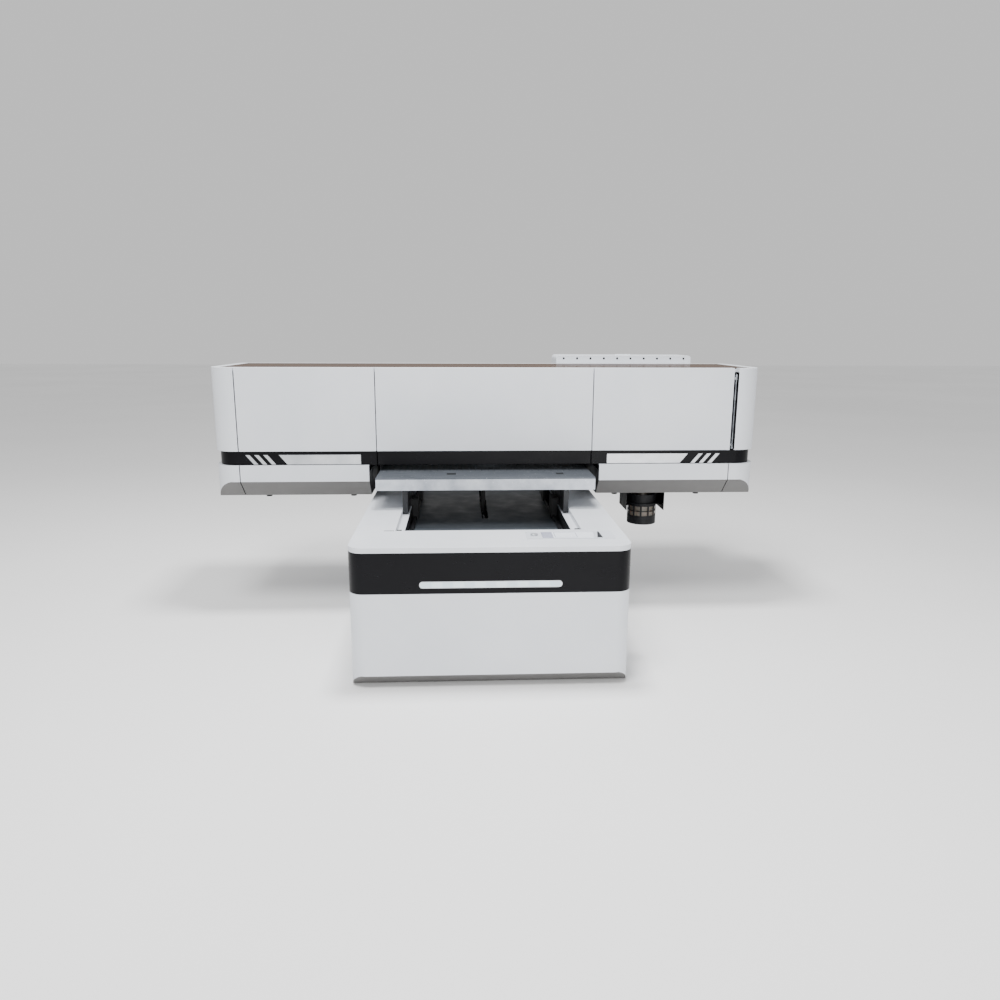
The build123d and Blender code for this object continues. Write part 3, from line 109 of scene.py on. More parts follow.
def start_material(name):
    material = bpy.data.materials.new(name)
    material.use_nodes = True
    material.node_tree.nodes.clear()
    return material, material.node_tree


def end_material(tree, shader):
    add(tree, "ShaderNodeOutputMaterial", links={"Surface": shader.outputs["BSDF"]})


def noise(tree, size, detail=3.0, stretch=(1, 1, 1), rough=0.55):
    """Cloudy pattern whose patches are about `size` metres across, squeezed along each axis by `stretch`."""
    place = add(tree, "ShaderNodeTexCoord").outputs["Object"]
    spread = add(tree, "ShaderNodeMapping", {"Scale": tuple(s / size for s in stretch)}, {"Vector": place})
    return add(tree, "ShaderNodeTexNoise", {"Scale": 1.0, "Detail": detail, "Roughness": rough},
               {"Vector": spread.outputs["Vector"]}).outputs["Fac"]


def between(tree, factor, low, high):
    """A colour that runs from one to the other as the pattern rises."""
    ramp = add(tree, "ShaderNodeValToRGB", links={"Fac": factor})
    ramp.color_ramp.elements[0].position = 0.32
    ramp.color_ramp.elements[0].color = low
    ramp.color_ramp.elements[1].position = 0.68
    ramp.color_ramp.elements[1].color = high
    return ramp.outputs["Color"]


def spread_over(tree, factor, low, high):
    """The pattern's value moved into a range of roughness."""
    return add(tree, "ShaderNodeMapRange", {"From Min": 0.3, "From Max": 0.7, "To Min": low, "To Max": high},
               {"Value": factor}).outputs["Result"]


def bumped(tree, height, depth, strength=0.5):
    return add(tree, "ShaderNodeBump", {"Distance": depth, "Strength": strength},
               {"Height": height}).outputs["Normal"]


def powder_coat(name, shade, shadow, rough=0.42, peel=0.0026):
    """Powder coated steel sheet: a slightly pebbled skin, about a tenth of a millimetre thick, that
    breaks up reflections. The real pebble is near 1 mm, and is drawn coarser so that it shows."""
    material, tree = start_material(name)
    pebble = noise(tree, peel, 2.0)
    cloud = noise(tree, 0.35, 4.0)
    skin = {"IOR": 1.48, "Coat Weight": 0.12, "Coat Roughness": 0.25}
    shader = add(tree, "ShaderNodeBsdfPrincipled", skin, {
        "Base Color": between(tree, cloud, linear(shadow), linear(shade)),
        "Roughness": spread_over(tree, noise(tree, 0.06, 5.0), rough - 0.05, rough + 0.08),
        "Normal": bumped(tree, pebble, 0.00012, 0.35)})
    end_material(tree, shader)
    return material


def smooth_by_angle(mesh, degrees):
    for face in mesh.polygons:
        face.use_smooth = True
    mesh.set_sharp_from_angle(angle=math.radians(degrees))


def settle(piece, body, nodes=()):
    """Puts a finished piece on its body and what it stands for."""
    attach(piece, body)
    if nodes:
        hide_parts(*nodes)
    return piece


def new_piece(name, mesh, *materials):
    piece = bpy.data.objects.new(name, mesh)
    bpy.context.scene.collection.objects.link(piece)
    mesh.materials.clear()
    for material in materials:
        mesh.materials.append(material)
    return piece


def finished(node, material, edge=0.0008, segments=2):
    """The machined part with its edges broken, as real sheet and castings have them. It is a merged
    copy of the frame's node, with a small bevel that catches the light."""
    source = frame["nodes"][node]
    mesh = source.data.copy()
    shape = bmesh.new()
    shape.from_mesh(mesh)
    bmesh.ops.remove_doubles(shape, verts=shape.verts, dist=0.000002)
    bmesh.ops.dissolve_limit(shape, angle_limit=math.radians(0.5), verts=shape.verts, edges=shape.edges)
    bmesh.ops.connect_verts_concave(shape, faces=shape.faces)
    shape.to_mesh(mesh)
    shape.free()
    piece = new_piece(node + "_shell", mesh, material)
    smooth_by_angle(mesh, 28)
    bevel = piece.modifiers.new("broken_edge", "BEVEL")
    bevel.width = edge
    bevel.segments = segments
    bevel.limit_method = "ANGLE"
    bevel.angle_limit = math.radians(28)
    bevel.harden_normals = True
    settle(piece, source["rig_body"], nodes=[node])
    return piece


frame_paint = powder_coat("dark_frame_paint_sprayed", "3C3D40", "303134", 0.5)
for node in ("anchor_feet", "base_frame", "bridge_frame"):
    finished(node, frame_paint, 0.001)


# ---- Skirt and base covers ---------------------------------------------------------------------
# Folded steel covers, powder coated light grey-white, hung on the frame; the skirt round the floor
# and the strips under the wings are coated a warm mid grey.

white_coat = powder_coat("light_grey_powder_coated_steel", "D6D9DE", "CDD1D7", 0.4)
grey_coat = powder_coat("mid_grey_powder_coated_steel", "626160", "5C5B5A", 0.45)

finished("base_skirt", grey_coat, 0.0012)
for node in ("front_panel", "side_panels", "rear_panel"):
    finished(node, white_coat, 0.0015, 3)


# ---- Screws ------------------------------------------------------------------------------------
# Button-head socket screws, zinc plated, in rows along the edges of the covers that come off.

def ground_steel(name="zinc_plated_steel", shade="A9ADB2", rough=0.3):
    """Ground or plated steel: bright, with fine parallel scratches about a millimetre apart that
    stretch the highlights. They are drawn coarser than a real grind."""
    material, tree = start_material(name)
    scratch = noise(tree, 0.004, 4.0, (0.12, 1, 1))
    shader = add(tree, "ShaderNodeBsdfPrincipled", {"Metallic": 1.0}, {
        "Base Color": between(tree, noise(tree, 0.05), linear("8F9398"), linear(shade)),
        "Roughness": spread_over(tree, scratch, rough - 0.06, rough + 0.12),
        "Normal": bumped(tree, scratch, 0.00004, 0.4)})
    end_material(tree, shader)
    return material


def open_tree(name, sockets):
    """A geometry tree with named inputs; gives the tree and its inputs' outputs by name."""
    tree = bpy.data.node_groups.new(name, "GeometryNodeTree")
    for label, kind in sockets.items():
        tree.interface.new_socket(name=label, in_out="INPUT", socket_type="NodeSocket" + kind)
    tree.interface.new_socket(name="Geometry", in_out="OUTPUT", socket_type="NodeSocketGeometry")
    return tree, tree.nodes.new("NodeGroupInput").outputs


def close_tree(tree, geometry, material):
    real = add(tree, "GeometryNodeRealizeInstances", links={"Geometry": geometry})
    painted = add(tree, "GeometryNodeSetMaterial", links={"Geometry": real.outputs["Geometry"],
                                                          "Material": material})
    add(tree, "NodeGroupOutput", links={"Geometry": painted.outputs["Geometry"]})
    return tree


def grow(name, tree, smooth=30, **values):
    """Runs a geometry tree with these sizes and returns the result as a plain mesh piece."""
    host = new_piece(name + "_host", bpy.data.meshes.new(name + "_host"))
    modifier = host.modifiers.new("grow", "NODES")
    modifier.node_group = tree
    for item in tree.interface.items_tree:
        if item.in_out == "INPUT":
            modifier[item.identifier] = values[item.name.lower().replace(" ", "_")]
    depsgraph = bpy.context.evaluated_depsgraph_get()
    mesh = bpy.data.meshes.new_from_object(host.evaluated_get(depsgraph), preserve_all_data_layers=True,
                                           depsgraph=depsgraph)
    bpy.data.objects.remove(host)
    smooth_by_angle(mesh, smooth)
    piece = bpy.data.objects.new(name, mesh)
    bpy.context.scene.collection.objects.link(piece)
    return piece


def join(tree, *parts):
    joined = add(tree, "GeometryNodeJoinGeometry")
    for part in parts:
        tree.links.new(part, joined.inputs["Geometry"])
    return joined.outputs["Geometry"]


def screw_row_tree():
    tree, given = open_tree("screw_row", {"Start": "Vector", "End": "Vector", "Count": "Int",
                                          "Head Diameter": "Float", "Facing": "Rotation",
                                          "Material": "Material"})
    radius = add(tree, "ShaderNodeMath", {1: 0.5}, {0: given["Head Diameter"]}, operation="MULTIPLY")
    dome = add(tree, "GeometryNodeMeshUVSphere", {"Segments": 14, "Rings": 8},
               {"Radius": radius.outputs[0]})
    flat = add(tree, "GeometryNodeTransform", {"Scale": (1, 1, 0.5)}, {"Geometry": dome.outputs["Mesh"]})
    socket_radius = add(tree, "ShaderNodeMath", {1: 0.46}, {0: radius.outputs[0]}, operation="MULTIPLY")
    socket = add(tree, "GeometryNodeMeshCylinder", {"Vertices": 6},
                 {"Radius": socket_radius.outputs[0], "Depth": radius.outputs[0]})
    rise = add(tree, "ShaderNodeCombineXYZ", links={"Z": socket_radius.outputs[0]})
    lifted = add(tree, "GeometryNodeTransform", links={"Geometry": socket.outputs["Mesh"],
                                                       "Translation": rise.outputs[0]})
    cut = add(tree, "GeometryNodeMeshBoolean", links={"Mesh 1": flat.outputs["Geometry"],
                                                      "Mesh 2": lifted.outputs["Geometry"]},
              operation="DIFFERENCE")
    line = add(tree, "GeometryNodeMeshLine", links={"Count": given["Count"], "Start Location": given["Start"],
                                                    "Offset": given["End"]}, mode="END_POINTS")
    spread = add(tree, "GeometryNodeInstanceOnPoints",
                 links={"Points": line.outputs["Mesh"], "Instance": cut.outputs["Mesh"],
                        "Rotation": given["Facing"]})
    return close_tree(tree, spread.outputs["Instances"], given["Material"])


screw_rows = screw_row_tree()
zinc = ground_steel()
SCREW_HEAD = 0.0095
BACKWARDS = (math.radians(-90), 0, 0)
SCREW_SINK = 0.0005
EDGE_INSET = 0.02


def screws(name, start, end, count, facing, head=SCREW_HEAD):
    piece = grow(name, screw_rows, start=start, end=end, count=count, head_diameter=head, facing=facing,
                 material=zinc)
    settle(piece, "root")


PANEL_SCREWS, PANEL_END = 7, 0.04
low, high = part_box("rear_panel")
for number, z in enumerate((low.z + EDGE_INSET, high.z - EDGE_INSET)):
    screws(f"rear_panel_screws_{number}", (low.x + PANEL_END, high.y - SCREW_SINK, z),
           (high.x - PANEL_END, high.y - SCREW_SINK, z), PANEL_SCREWS, BACKWARDS)

COVER_SCREWS, COVER_END, ABOVE_STRIP = 13, 0.06, 0.03
low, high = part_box("rear_cover")
for number, z in enumerate((high.z - EDGE_INSET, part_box("lower_panels")[1].z + ABOVE_STRIP)):
    screws(f"rear_cover_screws_{number}", (low.x + COVER_END, high.y - SCREW_SINK, z),
           (high.x - COVER_END, high.y - SCREW_SINK, z), COVER_SCREWS, BACKWARDS)


# ---- Black band and light bar ------------------------------------------------------------------
# A black acrylic-faced band wraps the base; a status light shines through an opal bar in a thin
# metal rim pushed into its front.

def black_gloss(name, shade="09090D", rough=0.28):
    """Black acrylic or painted ABS: glossy, with soft cloudy wipe marks in the shine."""
    material, tree = start_material(name)
    shader = add(tree, "ShaderNodeBsdfPrincipled", {"IOR": 1.49, "Specular IOR Level": 0.14}, {
        "Base Color": between(tree, noise(tree, 0.4), linear("060609"), linear(shade)),
        "Roughness": spread_over(tree, noise(tree, 0.12, 6.0, (1, 1, 2.5)), rough - 0.04, rough + 0.1),
        "Normal": bumped(tree, noise(tree, 0.05), 0.00015, 0.12)})
    end_material(tree, shader)
    return material


def opal_acrylic(name):
    """Opal acrylic light guide: milky, evenly bright, and a little brighter where its lamps sit,
    every 40 mm behind it."""
    material, tree = start_material(name)
    place = add(tree, "ShaderNodeTexCoord").outputs["Object"]
    lamp_pitch, full_turn = 0.040, 6.2832
    lamps = add(tree, "ShaderNodeTexWave", {"Scale": 1 / lamp_pitch / full_turn, "Distortion": 0.0},
                {"Vector": place}, bands_direction="X")
    glow = between(tree, lamps.outputs["Fac"], linear("D3DEE6"), linear("E4EDF2"))
    shader = add(tree, "ShaderNodeBsdfPrincipled",
                 {"Roughness": 0.35, "IOR": 1.49, "Subsurface Weight": 0.15, "Emission Strength": 0.12},
                 {"Base Color": glow, "Emission Color": glow})
    end_material(tree, shader)
    return material


band_black_and_painted_shade = black_gloss("black_acrylic_polished")
finished("front_band", band_black_and_painted_shade, 0.0012)
finished("band_panels", band_black_and_painted_shade, 0.001)
finished("light_bar", opal_acrylic("opal_acrylic_diffuser"), 0.0015, 3)


def outward_mesh(shape, name):
    """Turns every face outwards and closes the work on a shape with a mesh."""
    bmesh.ops.recalc_face_normals(shape, faces=shape.faces)
    mesh = bpy.data.meshes.new(name)
    shape.to_mesh(mesh)
    shape.free()
    return mesh


def loop_mesh(name, outline, half):
    """A square-section ring swept round an outline of points, for rims and lips."""
    shape = bmesh.new()
    rings = []
    count = len(outline)
    for i, point in enumerate(outline):
        ahead = outline[(i + 1) % count] - outline[i - 1]
        out = ahead.normalized().cross(Vector((0, -1, 0))).normalized()
        rings.append([shape.verts.new(point + out * a + Vector((0, b, 0)))
                      for a, b in ((-half, -half), (half, -half), (half, half), (-half, half))])
    for i in range(count):
        first, second = rings[i], rings[(i + 1) % count]
        for j in range(4):
            shape.faces.new((first[j], first[(j + 1) % 4], second[(j + 1) % 4], second[j]))
    return outward_mesh(shape, name)


low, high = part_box("light_bar")
bar_radius = (high.z - low.z) / 2
bar_middle = (high.z + low.z) / 2
RIM_HALF, RIM_SINK, RIM_STEPS = 0.0011, 0.0012, 12
rim = []
for side in (1, -1):
    x = high.x - bar_radius if side > 0 else low.x + bar_radius
    for step in range(RIM_STEPS + 1):
        angle = math.radians(side * 90 - 180 / RIM_STEPS * step)
        rim.append(Vector((x + bar_radius * math.cos(angle), low.y + RIM_SINK,
                           bar_middle + bar_radius * math.sin(angle))))


def brushed_aluminium(name, light, dark, rough=0.34):
    """Aluminium brushed along one axis and clear anodised: long fine streaks, 1 to 2 mm apart, that
    widen the highlight across the grain."""
    material, tree = start_material(name)
    streaks = noise(tree, 0.0022, 5.0, (0.015, 1, 1), 0.7)
    patches = noise(tree, 0.09, 5.0)
    shader = add(tree, "ShaderNodeBsdfPrincipled", {"Metallic": 0.9}, {
        "Base Color": between(tree, patches, linear(dark), linear(light)),
        "Roughness": spread_over(tree, streaks, rough - 0.1, rough + 0.14),
        "Normal": bumped(tree, streaks, 0.00003, 0.5)})
    end_material(tree, shader)
    return material


trim_silver = brushed_aluminium("brushed_aluminium_trim", "D9DBDE", "C2C5C9")
piece = new_piece("light_bar_rim", loop_mesh("light_bar_rim", rim, RIM_HALF), trim_silver)
smooth_by_angle(piece.data, 40)
settle(piece, "root")


# ---- Deck and channel --------------------------------------------------------------------------
# Three folded deck plates with a turned-down lip. Between the outer two runs a stepped steel
# channel for the table's runners and guides, with a slate grey floor; its walls are black, painted shade for
# the dark gap along them.

def satin_enamel(name, shade="141619", low="0F1012", rough=0.45, shine=0.4):
    """Satin black enamel on steel: even, with a faint brush of dust that dulls it in patches."""
    material, tree = start_material(name)
    dust = noise(tree, 0.07, 6.0)
    shader = add(tree, "ShaderNodeBsdfPrincipled", {"IOR": 1.5, "Specular IOR Level": shine}, {
        "Base Color": between(tree, dust, linear(low), linear(shade)),
        "Roughness": spread_over(tree, dust, rough - 0.08, rough + 0.16),
        "Normal": bumped(tree, noise(tree, 0.003, 2.0), 0.00008, 0.3)})
    end_material(tree, shader)
    return material


finished("deck_panels", white_coat, 0.0035, 4)
# Black enamel; the same black is painted shade in the pit walls, the deck slot and the table's sockets.
black_and_painted_shade = satin_enamel("satin_black_enamelled_steel", "141518", "0E0F11")
pit_slate = satin_enamel("slate_enamelled_steel", "43494F", "3B4046", 0.5)


def channel_in_three_finishes():
    """The stepped ledges are coated like the deck and the floor slate grey; the walls are black, painted
    shade for the dark gap along them.
    """
    ledge_depth, floor_band = 0.030, 0.01
    piece = finished("channel_tray", black_and_painted_shade, 0.001)
    piece.data.materials.append(white_coat)
    piece.data.materials.append(pit_slate)
    deck_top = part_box("deck_panels")[1].z
    pit_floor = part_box("channel_tray")[0].z
    for face in piece.data.polygons:
        if face.center.z > deck_top - ledge_depth:
            face.material_index = 1
        elif face.normal.z > 0.9 and face.center.z < pit_floor + floor_band:
            face.material_index = 2


channel_in_three_finishes()


def slab_mesh(name, outline, low_z, high_z, edge=0.0):
    """A flat plate with the given outline, its top edge chamfered."""
    shape = bmesh.new()
    face = shape.faces.new([shape.verts.new((x, y, low_z)) for x, y in outline])
    raised = bmesh.ops.extrude_face_region(shape, geom=[face])
    top = [v for v in raised["geom"] if isinstance(v, bmesh.types.BMVert)]
    bmesh.ops.translate(shape, verts=top, vec=(0, 0, high_z - low_z))
    if edge:
        rim_edges = [e for e in shape.edges if all(abs(v.co.z - high_z) < 1e-7 for v in e.verts)]
        bmesh.ops.bevel(shape, geom=rim_edges, offset=edge, segments=2, affect="EDGES", profile=0.5)
    return outward_mesh(shape, name)


def corners(x0, x1, y0, y1):
    return [(x0, y0), (x1, y0), (x1, y1), (x0, y1)]


# A thin black slab laid on the deck seam: painted shade for the dark inside of a finger slot.
SLOT_LEFT, SLOT_RIGHT = -0.4115, -0.3725
SLOT_FRONT, SLOT_BACK, SLOT_THICK = 0.004, 0.002, 0.0003
deck_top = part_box("deck_panels")[1].z
seam_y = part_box("channel_tray")[0].y
piece = new_piece("deck_finger_slot", slab_mesh("deck_finger_slot", corners(
    SLOT_LEFT, SLOT_RIGHT, seam_y - SLOT_FRONT, seam_y + SLOT_BACK), deck_top, deck_top + SLOT_THICK),
    black_and_painted_shade)
settle(piece, "root")


# ---- Table drive under the pit -----------------------------------------------------------------
# Two profiled guide rails of ground steel, a ball screw between pillow blocks, and its motor.

guide_steel = ground_steel("ground_bearing_steel", "9A9EA3", 0.25)
# The table's rails get this black as painted shade for the dark gap they run in.
rail_black_painted_shade = satin_enamel("black_oxide_bearing_steel", "17181B", "101114", 0.35)


def rails_in_two_finishes():
    """The table's rails are black, painted shade for the dark gap they run in; those on the beam are bright.
    """
    piece = finished("guide_rails", guide_steel, 0.001)
    piece.data.materials.append(rail_black_painted_shade)
    deck_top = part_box("deck_panels")[1].z
    for face in piece.data.polygons:
        if face.center.z < deck_top:
            face.material_index = 1


rails_in_two_finishes()


def thread(name, start, axis, length, radius, pitch, body, nodes, material):
    """A screw shaft with a rounded helical thread, made from one ring of points that climbs."""
    shape = bmesh.new()
    sides = 24
    steps = max(2, int(length / pitch * 4))
    side = axis.orthogonal().normalized()
    up = axis.cross(side)
    rings = []
    for i in range(steps + 1):
        ring = []
        for j in range(sides):
            angle = 2 * math.pi * j / sides
            wave = 0.5 + 0.5 * math.cos(angle - 2 * math.pi * i / 4)
            r = radius * (0.88 + 0.11 * wave)
            ring.append(shape.verts.new(start + axis * (length * i / steps)
                                        + side * (r * math.cos(angle)) + up * (r * math.sin(angle))))
        rings.append(ring)
    for first, second in zip(rings, rings[1:]):
        for j in range(sides):
            k = (j + 1) % sides
            shape.faces.new((first[j], first[k], second[k], second[j]))
    shape.faces.new(rings[0])
    shape.faces.new(rings[-1])
    mesh = outward_mesh(shape, name)
    piece = new_piece(name, mesh, material)
    smooth_by_angle(mesh, 50)
    return settle(piece, body, nodes)


low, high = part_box("table_screw")
thread("table_screw_thread", Vector(((low.x + high.x) / 2, low.y, (low.z + high.z) / 2)), Vector((0, 1, 0)),
       high.y - low.y, (high.x - low.x) / 2, 0.010, "table_screw_shaft", ["table_screw"], guide_steel)
motor_black = satin_enamel("satin_black_motor_paint", "202226", "17181B")
finished("drive_motors", motor_black, 0.0015)


# ---- Rear fan, guard and inlet -----------------------------------------------------------------
# A moulded axial fan behind slots in the rear panel, with a zinc plated wire guard outside, and a
# mains inlet of black moulded plastic beside it.

def moulded_black(name="moulded_black_abs", shade="131417", rough=0.5, grain=0.0016):
    """Injection moulded black ABS with a spark-eroded grain. Real grain is about 0.3 mm; this is
    drawn at over 1 mm so that it shows."""
    material, tree = start_material(name)
    grains = noise(tree, grain, 2.0)
    shader = add(tree, "ShaderNodeBsdfPrincipled", {"IOR": 1.5, "Specular IOR Level": 0.22}, {
        "Base Color": between(tree, noise(tree, 0.03), linear("0D0D0F"), linear(shade)),
        "Roughness": spread_over(tree, grains, rough - 0.06, rough + 0.1),
        "Normal": bumped(tree, grains, 0.00012, 0.4)})
    end_material(tree, shader)
    return material


black_abs = moulded_black()
finished("rear_fan", black_abs, 0.0005)
finished("power_inlet", black_abs, 0.0008)


def ring_set_tree():
    tree, given = open_tree("wire_guard", {"Centre": "Vector", "Rings": "Int", "Smallest": "Float",
                                           "Step": "Float", "Wire": "Float", "Material": "Material"})
    line = add(tree, "GeometryNodeMeshLine", {"Offset": (0, 0, 0)}, {"Count": given["Rings"]})
    index = add(tree, "GeometryNodeInputIndex")
    grown = add(tree, "ShaderNodeMath", links={0: index.outputs[0], 1: given["Step"], 2: given["Smallest"]},
                operation="MULTIPLY_ADD")
    scale = add(tree, "ShaderNodeCombineXYZ", {"Z": 1.0}, {"X": grown.outputs[0], "Y": grown.outputs[0]})
    circle = add(tree, "GeometryNodeCurvePrimitiveCircle", {"Resolution": 40, "Radius": 1.0})
    rings = add(tree, "GeometryNodeInstanceOnPoints", links={"Points": line.outputs["Mesh"],
                                                             "Instance": circle.outputs["Curve"],
                                                             "Scale": scale.outputs[0]})
    real = add(tree, "GeometryNodeRealizeInstances", links={"Geometry": rings.outputs["Instances"]})
    section = add(tree, "GeometryNodeCurvePrimitiveCircle", {"Resolution": 8}, {"Radius": given["Wire"]})
    wires = add(tree, "GeometryNodeCurveToMesh", links={"Curve": real.outputs["Geometry"],
                                                        "Profile Curve": section.outputs["Curve"]})
    spoke_length = add(tree, "ShaderNodeMath", links={0: given["Rings"], 1: given["Step"]},
                       operation="MULTIPLY")
    full = add(tree, "ShaderNodeMath", links={0: spoke_length.outputs[0], 1: given["Smallest"]},
               operation="ADD")
    spoke_end = add(tree, "ShaderNodeCombineXYZ", links={"X": full.outputs[0]})
    spoke = add(tree, "GeometryNodeCurvePrimitiveLine", links={"End": spoke_end.outputs[0]})
    spokes = []
    for turn in range(4):
        bar = add(tree, "GeometryNodeCurveToMesh", {"Fill Caps": True},
                  {"Curve": spoke.outputs["Curve"], "Profile Curve": section.outputs["Curve"]})
        spokes.append(add(tree, "GeometryNodeTransform", {"Rotation": (0, 0, math.pi * (0.25 + 0.5 * turn))},
                          {"Geometry": bar.outputs["Mesh"]}).outputs["Geometry"])
    turned = add(tree, "GeometryNodeTransform", {"Rotation": BACKWARDS},
                 {"Geometry": join(tree, wires.outputs["Mesh"], *spokes), "Translation": given["Centre"]})
    return close_tree(tree, turned.outputs["Geometry"], given["Material"])


low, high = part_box("rear_fan")
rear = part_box("rear_panel")[1].y
GUARD_PROUD = 0.0012
guard_centre = ((low.x + high.x) / 2, rear + GUARD_PROUD, (low.z + high.z) / 2)
piece = grow("fan_wire_guard", ring_set_tree(), centre=guard_centre, rings=5, smallest=0.012, step=0.0105,
             wire=0.0011, material=zinc)
settle(piece, "root")


# ---- Control panel -----------------------------------------------------------------------------
# A pale film overlay on the front deck round a touch screen, and a round start button with a raised
# rim. The screen shows plain blocks of colour and no lettering.

def cover_glass(name, shade, glow=0.0):
    """A lit screen under chemically strengthened glass: flat colour below, a sharp clear
    reflection above, smudged here and there by fingers."""
    material, tree = start_material(name)
    smudge = noise(tree, 0.025, 4.0)
    shader = add(tree, "ShaderNodeBsdfPrincipled",
                 {"Base Color": linear(shade), "Emission Color": linear(shade), "Emission Strength": glow,
                  "IOR": 1.5, "Coat Weight": 1.0, "Coat Roughness": 0.03},
                 {"Roughness": spread_over(tree, smudge, 0.12, 0.3)})
    end_material(tree, shader)
    return material


panel_white = powder_coat("silkscreened_overlay_film", "CDD1D8", "C8CCD4", 0.3)
low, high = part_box("display_bezel")
finished("display_bezel", panel_white, 0.0006)
screen_low, screen_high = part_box("display_screen")
screen_top = screen_high.z
MENU_WIDTH, SCREEN_EDGE = 0.042, 0.0004
column = screen_low.x + MENU_WIDTH
white_glass = cover_glass("lit_display_glass", "E4E8F0", 0.25)
lilac_glass = cover_glass("lit_display_glass_menu", "8F91A6", 0.06)
for name, left, right, glass, nodes in (
        ("display_picture", column, screen_high.x, white_glass, ["display_screen"]),
        ("display_menu", screen_low.x, column, lilac_glass, ())):
    pane = slab_mesh(name, corners(left, right, screen_low.y, screen_high.y), screen_low.z, screen_top,
                     SCREEN_EDGE)
    settle(new_piece(name, pane, glass), "root", nodes)
LINE_LEFT, LINE_RIGHT, LINE_MARGIN = 0.006, 0.07, 0.008
LINE_WIDTH, LINE_HEIGHT = 0.003, 0.0002
frame_outline = [Vector((x, y, screen_top)) for x, y in corners(
    column + LINE_LEFT, screen_high.x - LINE_RIGHT, screen_low.y + LINE_MARGIN, screen_high.y - LINE_MARGIN)]


def frame_line(name, outline, width, height):
    """A thin raised line along a closed outline in plan."""
    middle = sum(outline, Vector()) / len(outline)
    inside = [middle + (point - middle) * (1 - width / (point - middle).length) for point in outline]
    shape = bmesh.new()
    rings = [[shape.verts.new(point + Vector((0, 0, rise))) for point in ring]
             for ring, rise in ((outline, 0), (outline, height), (inside, height), (inside, 0))]
    for first, second in zip(rings, rings[1:] + rings[:1]):
        for i in range(len(outline)):
            j = (i + 1) % len(outline)
            shape.faces.new((first[i], first[j], second[j], second[i]))
    return outward_mesh(shape, name)


piece = new_piece("display_frame_line", frame_line("display_frame_line", frame_outline, LINE_WIDTH,
                                                   LINE_HEIGHT), lilac_glass)
settle(piece, "root")

# A flat black trapezoid on the bezel right of the screen: painted shade for the open gap under the screen's
# edge.
GAP_SHADE_OFFSET, GAP_SHADE_WIDTH, GAP_SHADE_THICK = 0.004, 0.022, 0.0004
GAP_SHADE_TOP_LEFT, GAP_SHADE_TOP_RIGHT = 0.014, 0.019
gap_shade_left = screen_high.x + GAP_SHADE_OFFSET
front, back = low.y + 0.010, high.y - 0.006
outline = [(gap_shade_left, front), (gap_shade_left + GAP_SHADE_WIDTH, front), (gap_shade_left + GAP_SHADE_TOP_RIGHT, back),
           (gap_shade_left + GAP_SHADE_TOP_LEFT, back)]
piece = new_piece("display_notch", slab_mesh("display_notch", outline, high.z, high.z + GAP_SHADE_THICK),
                  band_black_and_painted_shade)
settle(piece, "root")


def turned_mesh(name, profile, centre, axis, sides=48):
    """A turned or moulded round part: a profile of (radius, height) pairs spun about an axis."""
    shape = bmesh.new()
    side = axis.orthogonal().normalized()
    up = axis.cross(side)
    rings = []
    for radius, height in profile:
        if radius < 1e-6:
            rings.append([shape.verts.new(centre + axis * height)])
            continue
        rings.append([shape.verts.new(centre + axis * height + side * (radius * math.cos(a))
                                      + up * (radius * math.sin(a)))
                      for a in (2 * math.pi * j / sides for j in range(sides))])
    for first, second in zip(rings, rings[1:]):
        for j in range(sides):
            k = (j + 1) % sides
            corners_here = [first[j % len(first)], first[k % len(first)], second[k % len(second)],
                            second[j % len(second)]]
            shape.faces.new(list(dict.fromkeys(corners_here)))
    mesh = outward_mesh(shape, name)
    smooth_by_angle(mesh, 40)
    return mesh


low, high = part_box("power_button")
middle = Vector(((low.x + high.x) / 2, (low.y + high.y) / 2, low.z))
reach = (high.x - low.x) / 2
tall = high.z - low.z
profile = [(0, 0.0001), (reach, 0.0001), (reach, tall * 0.75), (reach * 0.93, tall), (reach * 0.8, tall),
           (reach * 0.74, tall * 0.86), (reach * 0.4, tall * 0.8), (0, tall * 0.8)]
piece = new_piece("start_button_cap", turned_mesh("start_button_cap", profile, middle, Vector((0, 0, 1))),
                  trim_silver)
settle(piece, "start_button", ["power_button"])


# ---- Emergency stop and main switch ------------------------------------------------------------
# A yellow box with a red mushroom head on the right of the base, and a black rotary switch below.

def moulded_colour(name, shade, low):
    """Glossy moulded plastic in a safety colour, clean, with a very slight orange peel."""
    material, tree = start_material(name)
    shader = add(tree, "ShaderNodeBsdfPrincipled", {"IOR": 1.5, "Coat Weight": 0.3, "Coat Roughness": 0.1}, {
        "Base Color": between(tree, noise(tree, 0.02), linear(low), linear(shade)),
        "Roughness": spread_over(tree, noise(tree, 0.01), 0.22, 0.36),
        "Normal": bumped(tree, noise(tree, 0.002), 0.00005, 0.3)})
    end_material(tree, shader)
    return material


finished("estop_base", moulded_colour("moulded_yellow_abs", "E3A80C", "D69C08"), 0.002, 3)
low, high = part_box("estop_button")
centre = Vector((low.x, (low.y + high.y) / 2, (low.z + high.z) / 2))
stem = 0.010
cap = high.x - low.x
flange = (high.y - low.y) / 2
profile = [(0, 0), (stem, 0), (stem, cap - 0.0138), (flange * 0.86, cap - 0.0136), (flange, cap - 0.0105),
           (flange, cap - 0.0075), (flange * 0.93, cap - 0.003), (flange * 0.7, cap - 0.0006), (0, cap)]
piece = new_piece("estop_mushroom", turned_mesh("estop_mushroom", profile, centre, Vector((1, 0, 0))),
                  moulded_colour("moulded_red_abs", "B51212", "A30C0C"))
settle(piece, "estop_head", ["estop_button"])
finished("main_switch", black_abs, 0.0015, 3)


# ---- Bridge: beam, rails, belt -----------------------------------------------------------------
# A hollow aluminium box beam on the two uprights carries two ground rails with a bolt every 60 mm,
# and a toothed belt between two pulleys that pulls the carriage.

